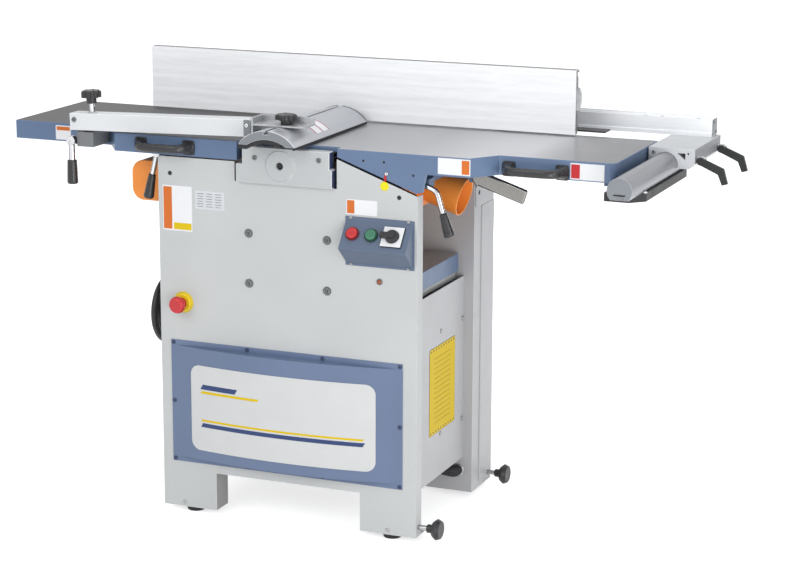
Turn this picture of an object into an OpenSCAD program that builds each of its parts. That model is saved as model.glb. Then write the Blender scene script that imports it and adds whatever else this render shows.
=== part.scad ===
// Combination planer thicknesser on a sheet-steel cabinet, with tilting tables, end-mounted fence,
// bridge guard, dust hood and rising thicknesser table. Front is -Y, tables run along X, floor is Z = 0.

/* [Cabinet] */
// Width of the cabinet
cab_w = 650; // [630:5:690]
// Depth of the cabinet, front sheet to rear face
cab_d = 495; // [480:5:540]
// Thickness of the cabinet sheets
sheet = 3; // [2:0.5:4]
// Depth of the side flanges of the front sheet
front_lip = 35; // [25:1:40]
// Depth of the box-shaped rear wall
rear_d = 131; // [115:1:136]
// Inset of the side panels from the cabinet's sides
side_in = 25; // [15:1:28]
// Width of each foot, seen from the front
leg_w = 140; // [110:1:170]
// Height of the gap between the feet
leg_gap_h = 92; // [60:1:100]
// Height of the rubber feet
pad_h = 13; // [8:1:20]

/* [Tables] */
// Height of the planing tables above the floor
table_z = 907; // [900:1:940]
// Depth of the tables, front to back
table_d = 395; // [385:1:400]
// Thickness of the table plates
table_t = 12; // [8:1:14]
// Height of the table aprons
apron_h = 44; // [40:1:45]
// Length of the outfeed table's front
outfeed_l = 624; // [560:2:700]
// Length of the infeed table's front
infeed_l = 630; // [590:2:700]
// Setback of the outer stretch of each table's front
table_step = 66; // [50:1:80]
// Slope of the infeed ways, in degrees
way_a = 20; // [16:1:22]

/* [Cutterblock] */
// Cutting radius of the cutterblock
cut_r = 47.6; // [44:0.2:48]
// Radius of the feed rollers
roll_r = 20; // [16:1:22]
// Radius of the cutterblock's shaft
cut_shaft_r = 8.4; // [7:0.1:10]

/* [Fence and guard] */
// Length of the fence
fence_l = 1103; // [900:1:1200]
// Height of the fence
fence_h = 150; // [120:1:180]
// Radius of the fence guide tube
tube_r = 28.5; // [24:0.5:30]
// Width of the arched guard
guard_w = 140; // [120:1:150]
// Length of the arched guard
guard_l = 410; // [360:1:420]
// Height of the guard's arch
guard_rise = 34; // [28:1:38]
// Size of the guard arm's square section
arm_s = 40; // [34:1:44]

/* [Thicknesser] */
// Height of the thicknesser table above the floor
thick_z = 611; // [600:1:640]
// Thickness of the thicknesser table
thick_t = 43; // [36:1:48]
// Radius of the column under the thicknesser table
column_r = 45; // [36:1:50]
// Radius of the lead screw
screw_r = 12; // [8:0.5:14]
// Radius of the handwheel
wheel_r = 86; // [70:1:95]
// Radius of the dust hood's round mouth
mouth_r = 45; // [38:1:50]

/* [Controls] */
// Width of the switch box
box_w = 168; // [150:1:180]
// Height of the switch box
box_h = 113; // [100:1:125]
// How far the switch box's ridge stands out
box_out = 50; // [40:1:60]
// Radius of the emergency stop's mushroom
stop_r = 20; // [16:1:24]

/* [Hidden] */
$fn = 64;

// Paint and material colours
grey_paint = [0.84, 0.84, 0.82];
blue_paint = [0.44, 0.52, 0.66];
iron = [0.58, 0.57, 0.58];
steel = [0.72, 0.73, 0.74];
alu = [0.86, 0.87, 0.88];
dark = [0.16, 0.16, 0.17];
orange = [0.90, 0.48, 0.14];
signal_red = [0.80, 0.18, 0.18];
signal_yellow = [0.95, 0.80, 0.10];
signal_green = [0.16, 0.45, 0.30];
white = [0.96, 0.96, 0.96];

// Clearances shared by every fit
over = 1;
run_c = 0.05;
face_c = 0.3;

// Cabinet places
cab_r = cab_w / 2;
rear_y = cab_d - rear_d;
gap_z = pad_h + leg_gap_h;
foot_d = 60;
side_x = cab_r - side_in;
side_z0_off = 87;
side_z0 = pad_h + side_z0_off;
side_top_drop = 353;
side_z1 = table_z - side_top_drop;
rear_top_drop = 79;
rear_top = table_z - rear_top_drop;
panel_drop = 47;
panel_top = table_z - panel_drop;
slit_drop = 92;
slit_z = table_z - slit_drop;
floor_t = 6;
floor_z = gap_z + sheet;

// Cutterblock and bearing plates
cut_x = -7;
cut_drop = 48;
cut_z = table_z - cut_drop;
bear_t = 12;
bear_out = 10;
bear_l_off = 112;
bear_l = cut_x - bear_l_off;
bear_r_off = 128;
bear_r = cut_x + bear_r_off;
bear_neck_l_off = 96;
bear_neck_l = cut_x - bear_neck_l_off;
bear_neck_r_off = 122;
bear_neck_r = cut_x + bear_neck_r_off;
bear_step_z_off = 49;
bear_step_z = table_z - bear_step_z_off;
bear_top_off = 8;
bear_top = table_z - bear_top_off;
bear_rear_top_off = 22;
bear_rear_top = table_z - bear_rear_top_off;
bear_back = sheet + bear_t;
bear_foot_z_off = 344;
bear_foot_z = table_z - bear_foot_z_off;
bear_rear_foot_z_off = 307;
bear_rear_foot_z = table_z - bear_rear_foot_z_off;
boss_r = 35;
boss_t = 2;
slit_w = 8;
cut_gap = 7;
cut_y0 = bear_back + cut_gap;
cut_y1 = rear_y - bear_t - cut_gap;
knife_n = 3;
knife_t = 3;
knife_w = 16;
knife_in = 1.6;
gullet_r = 9;
shaft_recess = 3;
roll_off = 80;
roll_z_off = 2;
roll_z = cut_z - cut_r + roll_r - roll_z_off;
roll_shaft_r = 8;
roll_pocket = 9;

// Planing tables
in_x0_off = 137;
in_x0 = cut_x + in_x0_off;
in_x1 = in_x0 + infeed_l;
out_x1_off = 114;
out_x1 = cut_x - out_x1_off;
out_x0 = out_x1 - outfeed_l;
lip_y_off = 6;
lip_y = bear_back + lip_y_off;
lip_gap = 38;
step_run = 47;
step_inner = 317;
wall = 14;
corner_r = 18;
rib_t = 10;
plate_z = table_z - table_t;
apron_z = table_z - apron_h;
tan_way = tan(way_a);
skirt_t = 10;
skirt_start = 19;
skirt_run = 192;
skirt_tip = 15;
skirt_tip_rise = 4;
skirt_back = 23;
skirt_z0 = table_z - skirt_start;
skirt_z1 = skirt_z0 - skirt_run * tan_way;
way_gap_across = 5;
way_gap = way_gap_across / cos(way_a);

// Hinge of the tables
hinge_back = 35;
hinge_drop = 34;
hinge_y = table_d + hinge_back;
hinge_z = table_z - hinge_drop;
hinge_x = 200;
hinge_w = 44;
hinge_eye_w = 30;
hinge_gap = 4;
hinge_eye_r = 15;
hinge_pin_r = 9;
hinge_pin_out = 2;
hinge_lug_x = hinge_w / 2 + hinge_gap;

// Saddle under the infeed table
saddle_x0_off = 133;
saddle_x0 = cut_x + saddle_x0_off;
saddle_x1_off = 5;
saddle_x1 = cab_r + saddle_x1_off;
saddle_y0_off = 10;
saddle_y0 = front_lip + saddle_y0_off;
saddle_y1_off = 15;
saddle_y1 = table_d - saddle_y1_off;
saddle_t = 12;
saddle_drop = 74;
saddle_z = table_z - saddle_drop;
saddle_top = saddle_z + saddle_t;
foot_l = 70;
foot_w = 60;
foot_x_offs = [62, 151];
foot_xs = [for (o = foot_x_offs) in_x0 + o];
foot_y_in = 55;
foot_ys = [saddle_y0 + foot_y_in, saddle_y1 - foot_y_in];
way_drop = 39;
way_z = table_z - way_drop;
way_c = 0.2;

// Handles and lock levers
grip_l = 150;
grip_bar_r = 10;
grip_out = 35;
grip_foot = 34;
grip_drop = 23;
in_grip_drop = 28;
grip_flare_share = 0.45;
out_grip_x_off = 185;
out_grip_x = out_x1 - out_grip_x_off;
in_grip_x_off = 182;
in_grip_x = in_x1 - in_grip_x_off;
lever_r = 6;
lever_hub_r = 10;
lever_hub_w = 13;
lever_shaft_r = 7;
lever_y = wall + 2 * face_c;
lug_w = 26;
lug_y = lever_y + lever_hub_w + over;
lug_l = 34;
lock_l_at = [13, 45];
lock_l = [-cab_r - lock_l_at[0], table_z - lock_l_at[1]];
lock_l_mid_at = [26, 96];
lock_l_mid = [-cab_r - lock_l_mid_at[0], table_z - lock_l_mid_at[1]];
lock_l_end_at = [38, 154];
lock_l_end = [-cab_r - lock_l_end_at[0], table_z - lock_l_end_at[1]];
lock_r_at = [-3, 69];
lock_r = [cab_r + lock_r_at[0], table_z - lock_r_at[1]];
lock_r_bend_at = [37, 83];
lock_r_bend = [cab_r + lock_r_bend_at[0], table_z - lock_r_bend_at[1]];
lock_r_mid_at = [53, 133];
lock_r_mid = [cab_r + lock_r_mid_at[0], table_z - lock_r_mid_at[1]];
lock_r_end_at = [70, 184];
lock_r_end = [cab_r + lock_r_end_at[0], table_z - lock_r_end_at[1]];
grip_r0 = 8.5;
grip_r1 = 12.5;
lever_mid_y = lever_y + lever_hub_w / 2;

// Depth-of-cut lever
depth_x_off = 300;
depth_x = in_x0 + depth_x_off;
depth_y = 100;
depth_z_off = 62;
depth_z = table_z - depth_z_off;
depth_l = 118;
depth_h = 34;
depth_t = 12;
depth_a = 18;
depth_hub_r = 16;
depth_pin_r = 6;

// Fence guide tube, bracket and carriage
tube_off = 44;
tube_x = in_x1 + tube_off;
tube_drop = 38;
tube_z = table_z - tube_drop;
tube_y0 = -45;
tube_l = 545;
tube_flat = 20;
tube_wall = 4;
cap_t = 5;
bracket_t = 20;
bracket_in = 15;
bracket_out = 28;
bracket_y0 = 35;
bracket_y1_off = 5;
bracket_y1 = table_d - bracket_y1_off;
bracket_cut = 30;
bracket_z = tube_z - tube_flat - bracket_t;
seat_w = 36;
fence_in = 30;
fence_y = table_d - fence_in;
car_front = 60;
car_y0 = fence_y - car_front;
car_l = 225;
car_side = 11;
car_right = 68;
car_x0 = tube_x - tube_r - car_side;
car_x1 = tube_x + car_right;
car_rise = 1;
car_z1 = table_z + car_rise;
car_h = 46;
car_z0 = car_z1 - car_h;
car_hole_r = 2.5;
car_hole_in = 6.5;
car_tri = 20;
car_bevel = 13;

// Fence beam, arms, pin, fence and rear cover
beam_s = 40;
beam_wall = 3;
ledge_d = 6;
ledge_h = 9;
beam_y1_off = 2;
beam_y1 = car_y0 + car_l - beam_y1_off;
beam_y0 = beam_y1 - beam_s;
beam_end_in = 10;
beam_x1 = car_x1 - beam_end_in;
beam_x0_off = 15;
beam_x0 = cab_r + beam_x0_off;
fence_t = 18;
fence_lift = 4.5;
fence_z = table_z + fence_lift;
fence_x1_off = 190;
fence_x1 = in_x1 - fence_x1_off;
fence_x0 = fence_x1 - fence_l;
fence_lip = 6;
fence_wall = 4;
spine_r = 29;
spine_h = 80;
spine_z = fence_z + spine_h;
pivot_back = 14;
pivot_up = 17;
pivot_y = fence_y + fence_t + pivot_back;
pivot_z = fence_z + pivot_up;
pivot_r = 4;
eye_r = 9.5;
eye_gap = 0.5;
eye_l = 24;
arm_t = 20;
arm_x_offs = [30, 170];
arm_xs = [for (o = arm_x_offs) beam_x0 + o];
arm_h = 20;
cover_t = 4;
cover_in = 3;
cover_l = 790;
cover_d = 40;
cover_past = 122;
cover_y = pivot_y + cover_in;
cover_z = pivot_z - arm_h / 2 - cover_t;

// Fence clamp levers
clamp_w = 14;
clamp_t = 8;
clamp_hub_r = 9;
clamp_pin_r = 5;
clamp_drop = 42;
clamp_ear = 14;
clamp_out = 10;
clamp_z_off = 14;
clamp_z = table_z - clamp_drop + clamp_z_off;
clamp_run = 45;
clamp_fall = 20;
clamp_tip_run = 10;
clamp_tip_fall = 27;
clamp_front_y_off = 12;
clamp_front_y = car_y0 + clamp_front_y_off;
clamp_rear_y_off = 32;
clamp_rear_y = car_y0 + car_l - clamp_rear_y_off;

// Guard arm and its bracket
arm_x_off = 400;
arm_x = out_x1 - arm_x_off;
arm_rise = 1.8;
arm_wall = 3;
arm_left = 24;
arm_end_x_off = 69;
arm_end_x = cut_x - arm_end_x_off;
arm_pin_up = 15;
arm_pin_z = table_z + arm_pin_up;
arm_pin_r = 4;
arm_low_off = 2;
arm_low = table_z + arm_low_off;
tongue_w = 16;
tongue_t = 20;
br_w = 43;
br_x0 = arm_x - tongue_w / 2;
br_front = -16;
br_z0_off = 37;
br_z0 = table_z - br_z0_off;
br_z1_off = 2;
br_z1 = table_z - br_z1_off;
knob_x_off = 26;
knob_x = arm_x + knob_x_off;
knob_r = 24;
knob_h = 30;
knob_z_off = 79;
knob_z = table_z + knob_z_off;
knob_shaft_r = 6;
height_lobes = 7;
neck_h_share = 0.45;
neck_r_share = 0.5;
rim_h_share = 0.1;
lobe_at_share = 1.14;
lobe_r_share = 0.32;
ear_w = 22;
ear_y0 = -14;
ear_t = 10;
ear_drop = 23;
ear_x = br_x0 - ear_w / 2;
ear_z = table_z - ear_drop;
ear_r = 10;
fold_y_off = 7;
fold_y = ear_y0 - fold_y_off;
fold_r = 7.5;
fold_hub_r = 11;
fold_in = 1;
fold_l = 46;
fold_grip_r = 13;
fold_grip_l = 57;

// Guard, holder and knob
guard_x_off = 3;
guard_x = cut_x - guard_x_off;
guard_gap = 30;
guard_y0 = fence_y - guard_gap - guard_l;
guard_lift = 8;
guard_low = table_z + guard_lift;
guard_top = guard_low + guard_rise;
guard_arc = (guard_w * guard_w / 4 + guard_rise * guard_rise) / (2 * guard_rise);
guard_cz = guard_top - guard_arc;
guard_t = 3;
slot_w = 8;
slot_d = 3.5;
tee_w = 16;
tee_h = 5;
spine_w = 26;
spine_t = 13;
cap_plate = 4;
cap_h = 20;
rub_t = 5;
rub_h = 6;
hold_y0 = -18;
hold_w = 60;
hold_t = 4;
hold_wall = 6;
hold_x1_off = 68;
hold_x1 = guard_x + hold_x1_off;
hold_z = guard_top + face_c;
hold_up = 14;
hold_drop = 22;
gknob_x_off = 10;
gknob_x = guard_x + gknob_x_off;
gknob_y = 10;
gknob_r = 25;
gknob_h = 22;
guard_lobes = 6;

// Thicknesser table and its drive
thick_w = 580;
thick_y0_off = 5;
thick_y0 = front_lip + thick_y0_off;
thick_y1_off = 14;
thick_y1 = rear_y - thick_y1_off;
thick_plate = 12;
thick_wall = 10;
mid_y = (thick_y0 + thick_y1) / 2;
col_l = 240;
guide_wall = 17;
guide_top_off = 38;
guide_top = thick_z - thick_t - guide_top_off;
guide_flange = 26;
guide_flange_t = 14;
guide_rib_t = 10;
guide_rib_h = 150;
screw_x = -100;
nut_wall = 8;
nut_l = 104;
nut_z = thick_z - thick_t - nut_l;
wheel_z = 445;
wheel_x_off = 81;
wheel_x = -cab_r - wheel_x_off;
wheel_rim = 9;
wheel_web = 8;
wheel_hub_r = 22;
wheel_hub_l = 36;
wheel_hole_r = 15;
wheel_hole_n = 3;
wheel_ring = 40;
wshaft_r = 8;
pinion_r = 28;
pinion_w = 12;
gear_r = 30;
gear_h = 12;
gear_gap = 1;
gear_z = wheel_z - pinion_r - gear_gap - gear_h;
pinion_x_off = 4;
pinion_x = screw_x - gear_r - pinion_w + pinion_x_off;
screw_top_off = 33;
screw_top = thick_z - screw_top_off;
mount_t = 12;
mount_w = 90;
mount_in = 36;
post_w = 20;
post_x_off = 100;
post_x = screw_x - post_x_off;
bush_r = 18;
bush_t = 10;
journal_r = 8;
bevel_share = 0.8;

// Dust hood
hood_y0 = 70;
hood_y1_off = 44;
hood_y1 = rear_y - hood_y1_off;
hood_wall = 3;
hood_end_r = 48;
hood_left = -384;
hood_corner = 30;
hood_end_x = hood_left - hood_end_r;
hood_mid_z = 784;
hood_low = hood_mid_z - hood_end_r;
hood_high = hood_mid_z + hood_end_r;
hood_waist = 792;
hood_mid_low = 738;
hood_sh_l = -330;
hood_in_l_off = 125;
hood_in_l = cut_x - hood_in_l_off;
hood_in_r_off = 117;
hood_in_r = cut_x + hood_in_r_off;
hood_right = 262;
hood_right_low = 752;
hood_right_high = 822;
hood_slot = 46;
spout_a = 15;
spout_l = 120;
spout_r0 = 37;
spout_x = 247;
spout_z = 811;
spout_y = (hood_y0 + hood_y1) / 2;
spout_clear = 11;
pin_hood_r = 10;
pin_hood_z = 760;

// Front cover, knobs, feet and fasteners
cov_w = 590;
cov_x = -3;
cov_z0 = 126;
cov_h = 298;
cov_flange = 13;
cov_t = 2;
cov_bulge = 30;
cov_half = cov_w / 2 - cov_flange;
cov_arc = (cov_half * cov_half + cov_bulge * cov_bulge) / (2 * cov_bulge);
win_l = 56;
win_r = 62;
win_z0 = 38;
win_h = 207;
win_t = 1.5;
win_corner = 24;
screw_head_r = 5;
cover_screw_share = 1 / 3;
box_screw_r = 2.3;
box_screw_in = 2.5;
box_screw_side = 14;
panel_screw_r = 6;
panel_screw_mid = 20;
panel_screw_in = 10;
panel_screw_z = 102;
knob_neck_share = 0.7;
knob_crown_share = 0.82;
pad_taper_share = 0.85;
screw_head_t = 2.5;
bolt_x = 98.5;
bolt_mid = 6;
bolt_drops = [212, 330];
bolt_zs = [for (d = bolt_drops) table_z - d];
bolt_r = 6;
bolt_head_r = 9;
bolt_head_t = 4;
bolt_hex_r = 4;
foot_knob_r = 25;
foot_knob_t = 20;
foot_stud_r = 6;
foot_stud_l = 36;
foot_hub_r = 10;
foot_hub_l = 14;
foot_knob_z_off = 22;
foot_knob_z = pad_h + foot_knob_z_off;
foot_knob_y0 = 18;
foot_knob_y1_off = 25;
foot_knob_y1 = cab_d - foot_knob_y1_off;
pad_r = 24;
pad_in = 70;
pad_y = 30;

// Switch box and emergency stop
box_x = 235;
box_z0 = 643;
box_flange = 5;
box_plate = 2;
box_ridge_h = 47;
box_upper = box_h - box_ridge_h - box_flange;
face_a = atan2(box_upper, box_out - box_plate);
face_mid_share = 0.5;
button_r = 13;
button_h = 10;
button_in = 9;
button_seat = 4;
button_rim = 2;
bezel_r = 16;
bezel_h = 5;
red_x_off = 56;
red_x = box_x - red_x_off;
green_x_off = 10;
green_x = box_x - green_x_off;
sel_x_off = 42;
sel_x = box_x + sel_x_off;
sel_s = 50;
sel_t = 4;
sel_pin_r = 6;
sel_knob_r = 17;
sel_knob_h = 9;
sel_bar_w = 12;
sel_bar_l = 27;
sel_bar_h = 13;
estop_x = -264;
estop_z = 516;
estop_base_r = 26;
estop_base_t = 10;
estop_head_t = 14;
estop_stem_r = 12;
estop_stem_l = 18;
estop_in = 4;

// Footprint centre, so that the origin is under the middle of the whole machine
reach_right = car_x1 + clamp_out + clamp_run + clamp_hub_r + clamp_tip_run;
reach_back = car_y0 + car_l;
origin_x = (reach_right + out_x0) / 2;
origin_y = (reach_back + guard_y0) / 2;

// Helpers: block between two corners, rods along each axis, tapered bar between two points
module place() { translate([-origin_x, -origin_y, 0]) children(); }
module block(lo, hi) { translate(lo) cube(hi - lo); }
module rod_x(p, r, l) { translate(p) rotate([0, 90, 0]) cylinder(h = l, r = r); }
module rod_y(p, r, l) { translate(p) rotate([-90, 0, 0]) cylinder(h = l, r = r); }
module rod_z(p, r, l) { translate(p) cylinder(h = l, r = r); }
module bar(p, q, r0, r1) {
    v = q - p;
    translate(p) rotate([0, acos(v[2] / norm(v)), atan2(v[1], v[0])]) cylinder(h = norm(v), r1 = r0,
        r2 = r1);
}
// Outline in X and Z, drawn out along Y
module slab_y(y, t, pts) { translate([0, y + t, 0]) rotate([90, 0, 0]) linear_extrude(t) polygon(pts); }
// Outline in Y and Z, drawn out along X
module slab_x(x, t, pts) { translate([x, 0, 0]) rotate([90, 0, 90]) linear_extrude(t) polygon(pts); }

// Slope line of the infeed ways: height at a place along X
function way_line(x) = skirt_z0 - (x - in_x0) * tan_way;

module bolt_places() {
    for (s = [-1, 1], z = bolt_zs) translate([bolt_mid + s * bolt_x, 0, z]) children();
}

module front_sheet() {
    low_r = way_line(cab_r) - way_gap;
    high_r = way_line(bear_r + slit_w) - way_gap;
    outline = [[-cab_r, pad_h], [leg_w - cab_r, pad_h], [leg_w - cab_r, gap_z], [cab_r - leg_w, gap_z],
        [cab_r - leg_w, pad_h], [cab_r, pad_h], [cab_r, low_r], [bear_r + slit_w, high_r],
        [bear_r + slit_w, slit_z], [bear_l - slit_w, slit_z], [bear_l - slit_w, panel_top],
        [-cab_r, panel_top]];
    color(grey_paint) place() difference() {
        union() {
            slab_y(0, sheet, outline);
            block([-cab_r, 0, pad_h], [sheet - cab_r, front_lip, panel_top]);
            block([cab_r - sheet, 0, pad_h], [cab_r, front_lip, low_r]);
            for (s = [-1, 1]) {
                block([min(s * cab_r, s * (cab_r - leg_w)), 0, pad_h],
                    [max(s * cab_r, s * (cab_r - leg_w)), foot_d, pad_h + sheet]);
                block([s * (cab_r - leg_w) - (s > 0 ? 0 : sheet), 0, pad_h],
                    [s * (cab_r - leg_w) + (s > 0 ? sheet : 0), foot_d, gap_z]);
            }
            block([leg_w - cab_r - sheet, 0, gap_z], [cab_r - leg_w + sheet, foot_d, gap_z + sheet]);
        }
        bolt_places() rod_y([0, -over, 0], bolt_r, sheet + 2 * over);
        rod_x([cab_r - foot_d / 2, foot_knob_y0, foot_knob_z], foot_stud_r + run_c, foot_d);
    }
}

module rear_box() {
    foot_x = cab_r - leg_w;
    color(grey_paint) place() difference() {
        block([-cab_r, rear_y, pad_h], [cab_r, cab_d, rear_top]);
        block([sheet - cab_r, rear_y + sheet, gap_z + sheet],
            [cab_r - sheet, cab_d - sheet, rear_top - sheet]);
        for (s = [-1, 1]) {
            block([s * (cab_r + foot_x) / 2 - leg_w / 2 + sheet, rear_y + sheet, pad_h + sheet],
                [s * (cab_r + foot_x) / 2 + leg_w / 2 - sheet, cab_d - sheet, gap_z + 2 * sheet]);
        }
        block([-foot_x, rear_y - over, pad_h - over], [foot_x, cab_d + over, gap_z]);
        rod_x([cab_r - foot_d / 2, foot_knob_y1, foot_knob_z], foot_stud_r + run_c, foot_d);
    }
}

module side_panel(x) {
    block([x, sheet, side_z0], [x + sheet, rear_y, side_z1]);
}

module side_panel_left() {
    color(grey_paint) place() difference() {
        side_panel(-side_x);
        rod_x([-side_x - over, mid_y, wheel_z], wshaft_r + face_c, sheet + 2 * over);
    }
}

module side_panel_right() {
    color(grey_paint) place() side_panel(side_x - sheet);
}

module floor_plate() {
    color(grey_paint) place() difference() {
        block([sheet - side_x, sheet, floor_z], [side_x - sheet, rear_y, floor_z + floor_t]);
        rod_z([0, mid_y, floor_z - over], column_r, floor_t + 2 * over);
    }
}

module rubber_feet() {
    color(dark) place() for (s = [-1, 1], y = [pad_y, cab_d - pad_y]) {
        translate([s * (cab_r - pad_in), y, 0]) cylinder(h = pad_h, r1 = pad_r * pad_taper_share,
            r2 = pad_r);
    }
}

// Mushroom knob on a stud through the right side of the cabinet
module side_knob(y) {
    color(dark) place() translate([cab_r, y, foot_knob_z]) rotate([0, 90, 0]) {
        translate([0, 0, -2 * sheet]) cylinder(h = foot_stud_l + 2 * sheet, r = foot_stud_r);
        translate([0, 0, foot_stud_l - foot_hub_l]) cylinder(h = foot_hub_l, r = foot_hub_r);
        translate([0, 0, foot_stud_l])
            cylinder(h = foot_knob_t / 2, r1 = foot_knob_r * knob_neck_share, r2 = foot_knob_r);
        translate([0, 0, foot_stud_l + foot_knob_t / 2])
            cylinder(h = foot_knob_t / 2, r1 = foot_knob_r, r2 = foot_knob_r * knob_crown_share);
    }
}
module side_knob_front() { side_knob(foot_knob_y0); }
module side_knob_rear() { side_knob(foot_knob_y1); }

// Drum of the front cover, grown outward by some amount and drawn in at both ends
module cover_drum(grow, ends) {
    translate([cov_x, cov_arc - cov_bulge - cov_t, cov_z0 + cov_flange + ends])
        cylinder(h = cov_h - 2 * (cov_flange + ends), r = cov_arc + grow, $fn = 256);
}

module front_cover() {
    far = cov_bulge + 2 * cov_t;
    color(blue_paint) place() difference() {
        union() {
            block([cov_x - cov_w / 2, -cov_t, cov_z0], [cov_x + cov_w / 2, 0, cov_z0 + cov_h]);
            intersection() {
                cover_drum(0, 0);
                block([cov_x - cov_half, -far, cov_z0], [cov_x + cov_half, -cov_t, cov_z0 + cov_h]);
            }
        }
        intersection() {
            cover_drum(-cov_t, cov_t);
            block([cov_x - cov_half, -far, cov_z0], [cov_x + cov_half, over, cov_z0 + cov_h]);
        }
    }
}

// Window with rounded corners, raised on the cover's drum
module window_blank() {
    x0 = cov_x - cov_w / 2 + win_l;
    x1 = cov_x + cov_w / 2 - win_r;
    z0 = cov_z0 + win_z0;
    depth = cov_bulge + 4 * cov_t;
    block([x0 + win_corner, -depth, z0], [x1 - win_corner, 0, z0 + win_h]);
    block([x0, -depth, z0 + win_corner], [x1, 0, z0 + win_h - win_corner]);
    for (x = [x0 + win_corner, x1 - win_corner], z = [z0 + win_corner, z0 + win_h - win_corner]) {
        rod_y([x, -depth, z], win_corner, depth);
    }
}

module cover_window() {
    color(white) place() intersection() {
        difference() {
            cover_drum(win_t, 0);
            cover_drum(0, 0);
        }
        window_blank();
    }
}

// Socket-head bolt of the bearing plate, head on the front sheet
module front_bolt() {
    difference() {
        union() {
            rod_y([0, -bolt_head_t, 0], bolt_head_r, bolt_head_t);
            rod_y([0, 0, 0], bolt_r - run_c, sheet + bear_t / 2);
        }
        translate([0, -bolt_head_t - over, 0]) rotate([-90, 0, 0])
            cylinder(h = bolt_head_t / 2 + over, r = bolt_hex_r, $fn = 6);
    }
}

// Front bolts, and pan-head screws of the front cover, the switch box and the side panels
module fasteners() {
    head_y = -cov_t - screw_head_t;
    box_y = -box_plate - screw_head_t;
    span = cov_w - cov_flange;
    color(steel) place() {
        bolt_places() front_bolt();
        for (z = [cov_z0 + cov_flange / 2, cov_z0 + cov_h - cov_flange / 2], i = [-1.5:1.5]) {
            rod_y([cov_x + i * span * cover_screw_share, head_y, z], screw_head_r, screw_head_t);
        }
        for (s = [-1, 1]) {
            rod_y([cov_x + s * span / 2, head_y, cov_z0 + cov_h / 2], screw_head_r, screw_head_t);
        }
        for (s = [-1, 1], z = [box_z0 + box_screw_in, box_z0 + box_h - box_screw_in]) {
            rod_y([box_x + s * (box_w / 2 - box_screw_side), box_y, z], box_screw_r, screw_head_t);
        }
        for (s = [-1, 1], y = [mid_y + panel_screw_mid, rear_y - panel_screw_in],
                z = [side_z1 - panel_screw_z, side_z0 + panel_screw_z]) {
            rod_x([s * side_x - (s > 0 ? 0 : screw_head_t), y, z], panel_screw_r, screw_head_t);
        }
    }
}

// Bores shared by both bearing plates: cutterblock shaft and feed roller shafts
module bearing_bores(y0, y1, roll_y0, roll_y1) {
    rod_y([cut_x, y0, cut_z], cut_shaft_r + run_c, y1 - y0);
    for (s = [-1, 1]) rod_y([cut_x + s * roll_off, roll_y0, roll_z], roll_shaft_r + run_c,
        roll_y1 - roll_y0);
}

module bearing_front() {
    neck = [[bear_l, slit_z], [bear_r, slit_z], [bear_r, bear_step_z], [bear_neck_r, bear_step_z],
        [bear_neck_r, bear_top], [bear_neck_l, bear_top], [bear_neck_l, bear_step_z],
            [bear_l, bear_step_z]];
    color(grey_paint) place() difference() {
        union() {
            slab_y(-bear_out, bear_out + bear_back, neck);
            block([bear_l, sheet, bear_foot_z], [bear_r, bear_back, slit_z]);
            rod_y([cut_x, -bear_out - boss_t, cut_z], boss_r, boss_t);
        }
        bearing_bores(-bear_out - boss_t - over, bear_back + over, bear_back - roll_pocket,
            bear_back + over);
        bolt_places() rod_y([0, 0, 0], bolt_r, sheet + bear_t / 2);
    }
}

module bearing_rear() {
    color(grey_paint) place() difference() {
        block([bear_l, rear_y - bear_t, bear_rear_foot_z], [bear_r, rear_y, bear_rear_top]);
        bearing_bores(rear_y - bear_t - over, rear_y + over, rear_y - bear_t - over,
            rear_y - bear_t + roll_pocket);
    }
}

module cutterblock() {
    len = cut_y1 - cut_y0;
    body_r = cut_r - knife_in;
    color(steel) place() translate([cut_x, cut_y0, cut_z]) rotate([-90, 0, 0]) {
        difference() {
            cylinder(h = len, r = body_r);
            for (i = [0:knife_n - 1]) rotate(i * 360 / knife_n)
                translate([body_r, gullet_r - knife_t / 2, -over])
                    cylinder(h = len + 2 * over, r = gullet_r);
        }
        for (i = [0:knife_n - 1]) rotate(i * 360 / knife_n)
            translate([cut_r - knife_w, -knife_t, knife_in]) cube([knife_w, knife_t, len - 2 * knife_in]);
        translate([0, 0, -cut_y0 - bear_out + shaft_recess])
            cylinder(h = cut_y0 + bear_out - shaft_recess + over, r = cut_shaft_r);
        translate([0, 0, len - over]) cylinder(h = rear_y - cut_y1 - shaft_recess + over, r = cut_shaft_r);
    }
}

module feed_roller(s) {
    rod_y([cut_x + s * roll_off, cut_y0, roll_z], roll_r, cut_y1 - cut_y0);
    rod_y([cut_x + s * roll_off, cut_y0 - cut_gap - roll_pocket + over, roll_z], roll_shaft_r,
        cut_y1 - cut_y0 + 2 * (cut_gap + roll_pocket - over));
}
module feed_roller_in() { color(steel) place() feed_roller(1); }
module feed_roller_out() { color(dark) place() feed_roller(-1); }

// Table plan: the apron's outline, and the pocket inside its walls
function out_plan(g) = [[out_x0 + g, table_step + g],
    [out_x1 - step_inner - step_run + g / 2, table_step + g], [out_x1 - step_inner + g / 2, g],
    [out_x1 - g, g], [out_x1 - g, table_d - g], [out_x0 + g, table_d - g]];
function in_plan(g) = [[in_x0 + g, g], [in_x0 + step_inner - g / 2, g],
    [in_x0 + step_inner + step_run - g / 2, table_step + g], each in_corner(g),
    [in_x1 - g, table_d - g], [in_x0 + g, table_d - g]];
function in_corner(g) = [for (a = [-90:15:0]) [in_x1 - corner_r + (corner_r - g) * cos(a),
    table_step + corner_r + (corner_r - g) * sin(a)]];

// Lug under a table that carries a lock lever's shaft
module lever_lug(p, z1) {
    block([p[0] - lug_w / 2, lug_y, p[1] - lug_w / 2], [p[0] + lug_w / 2, lug_y + lug_l, z1]);
}

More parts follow.
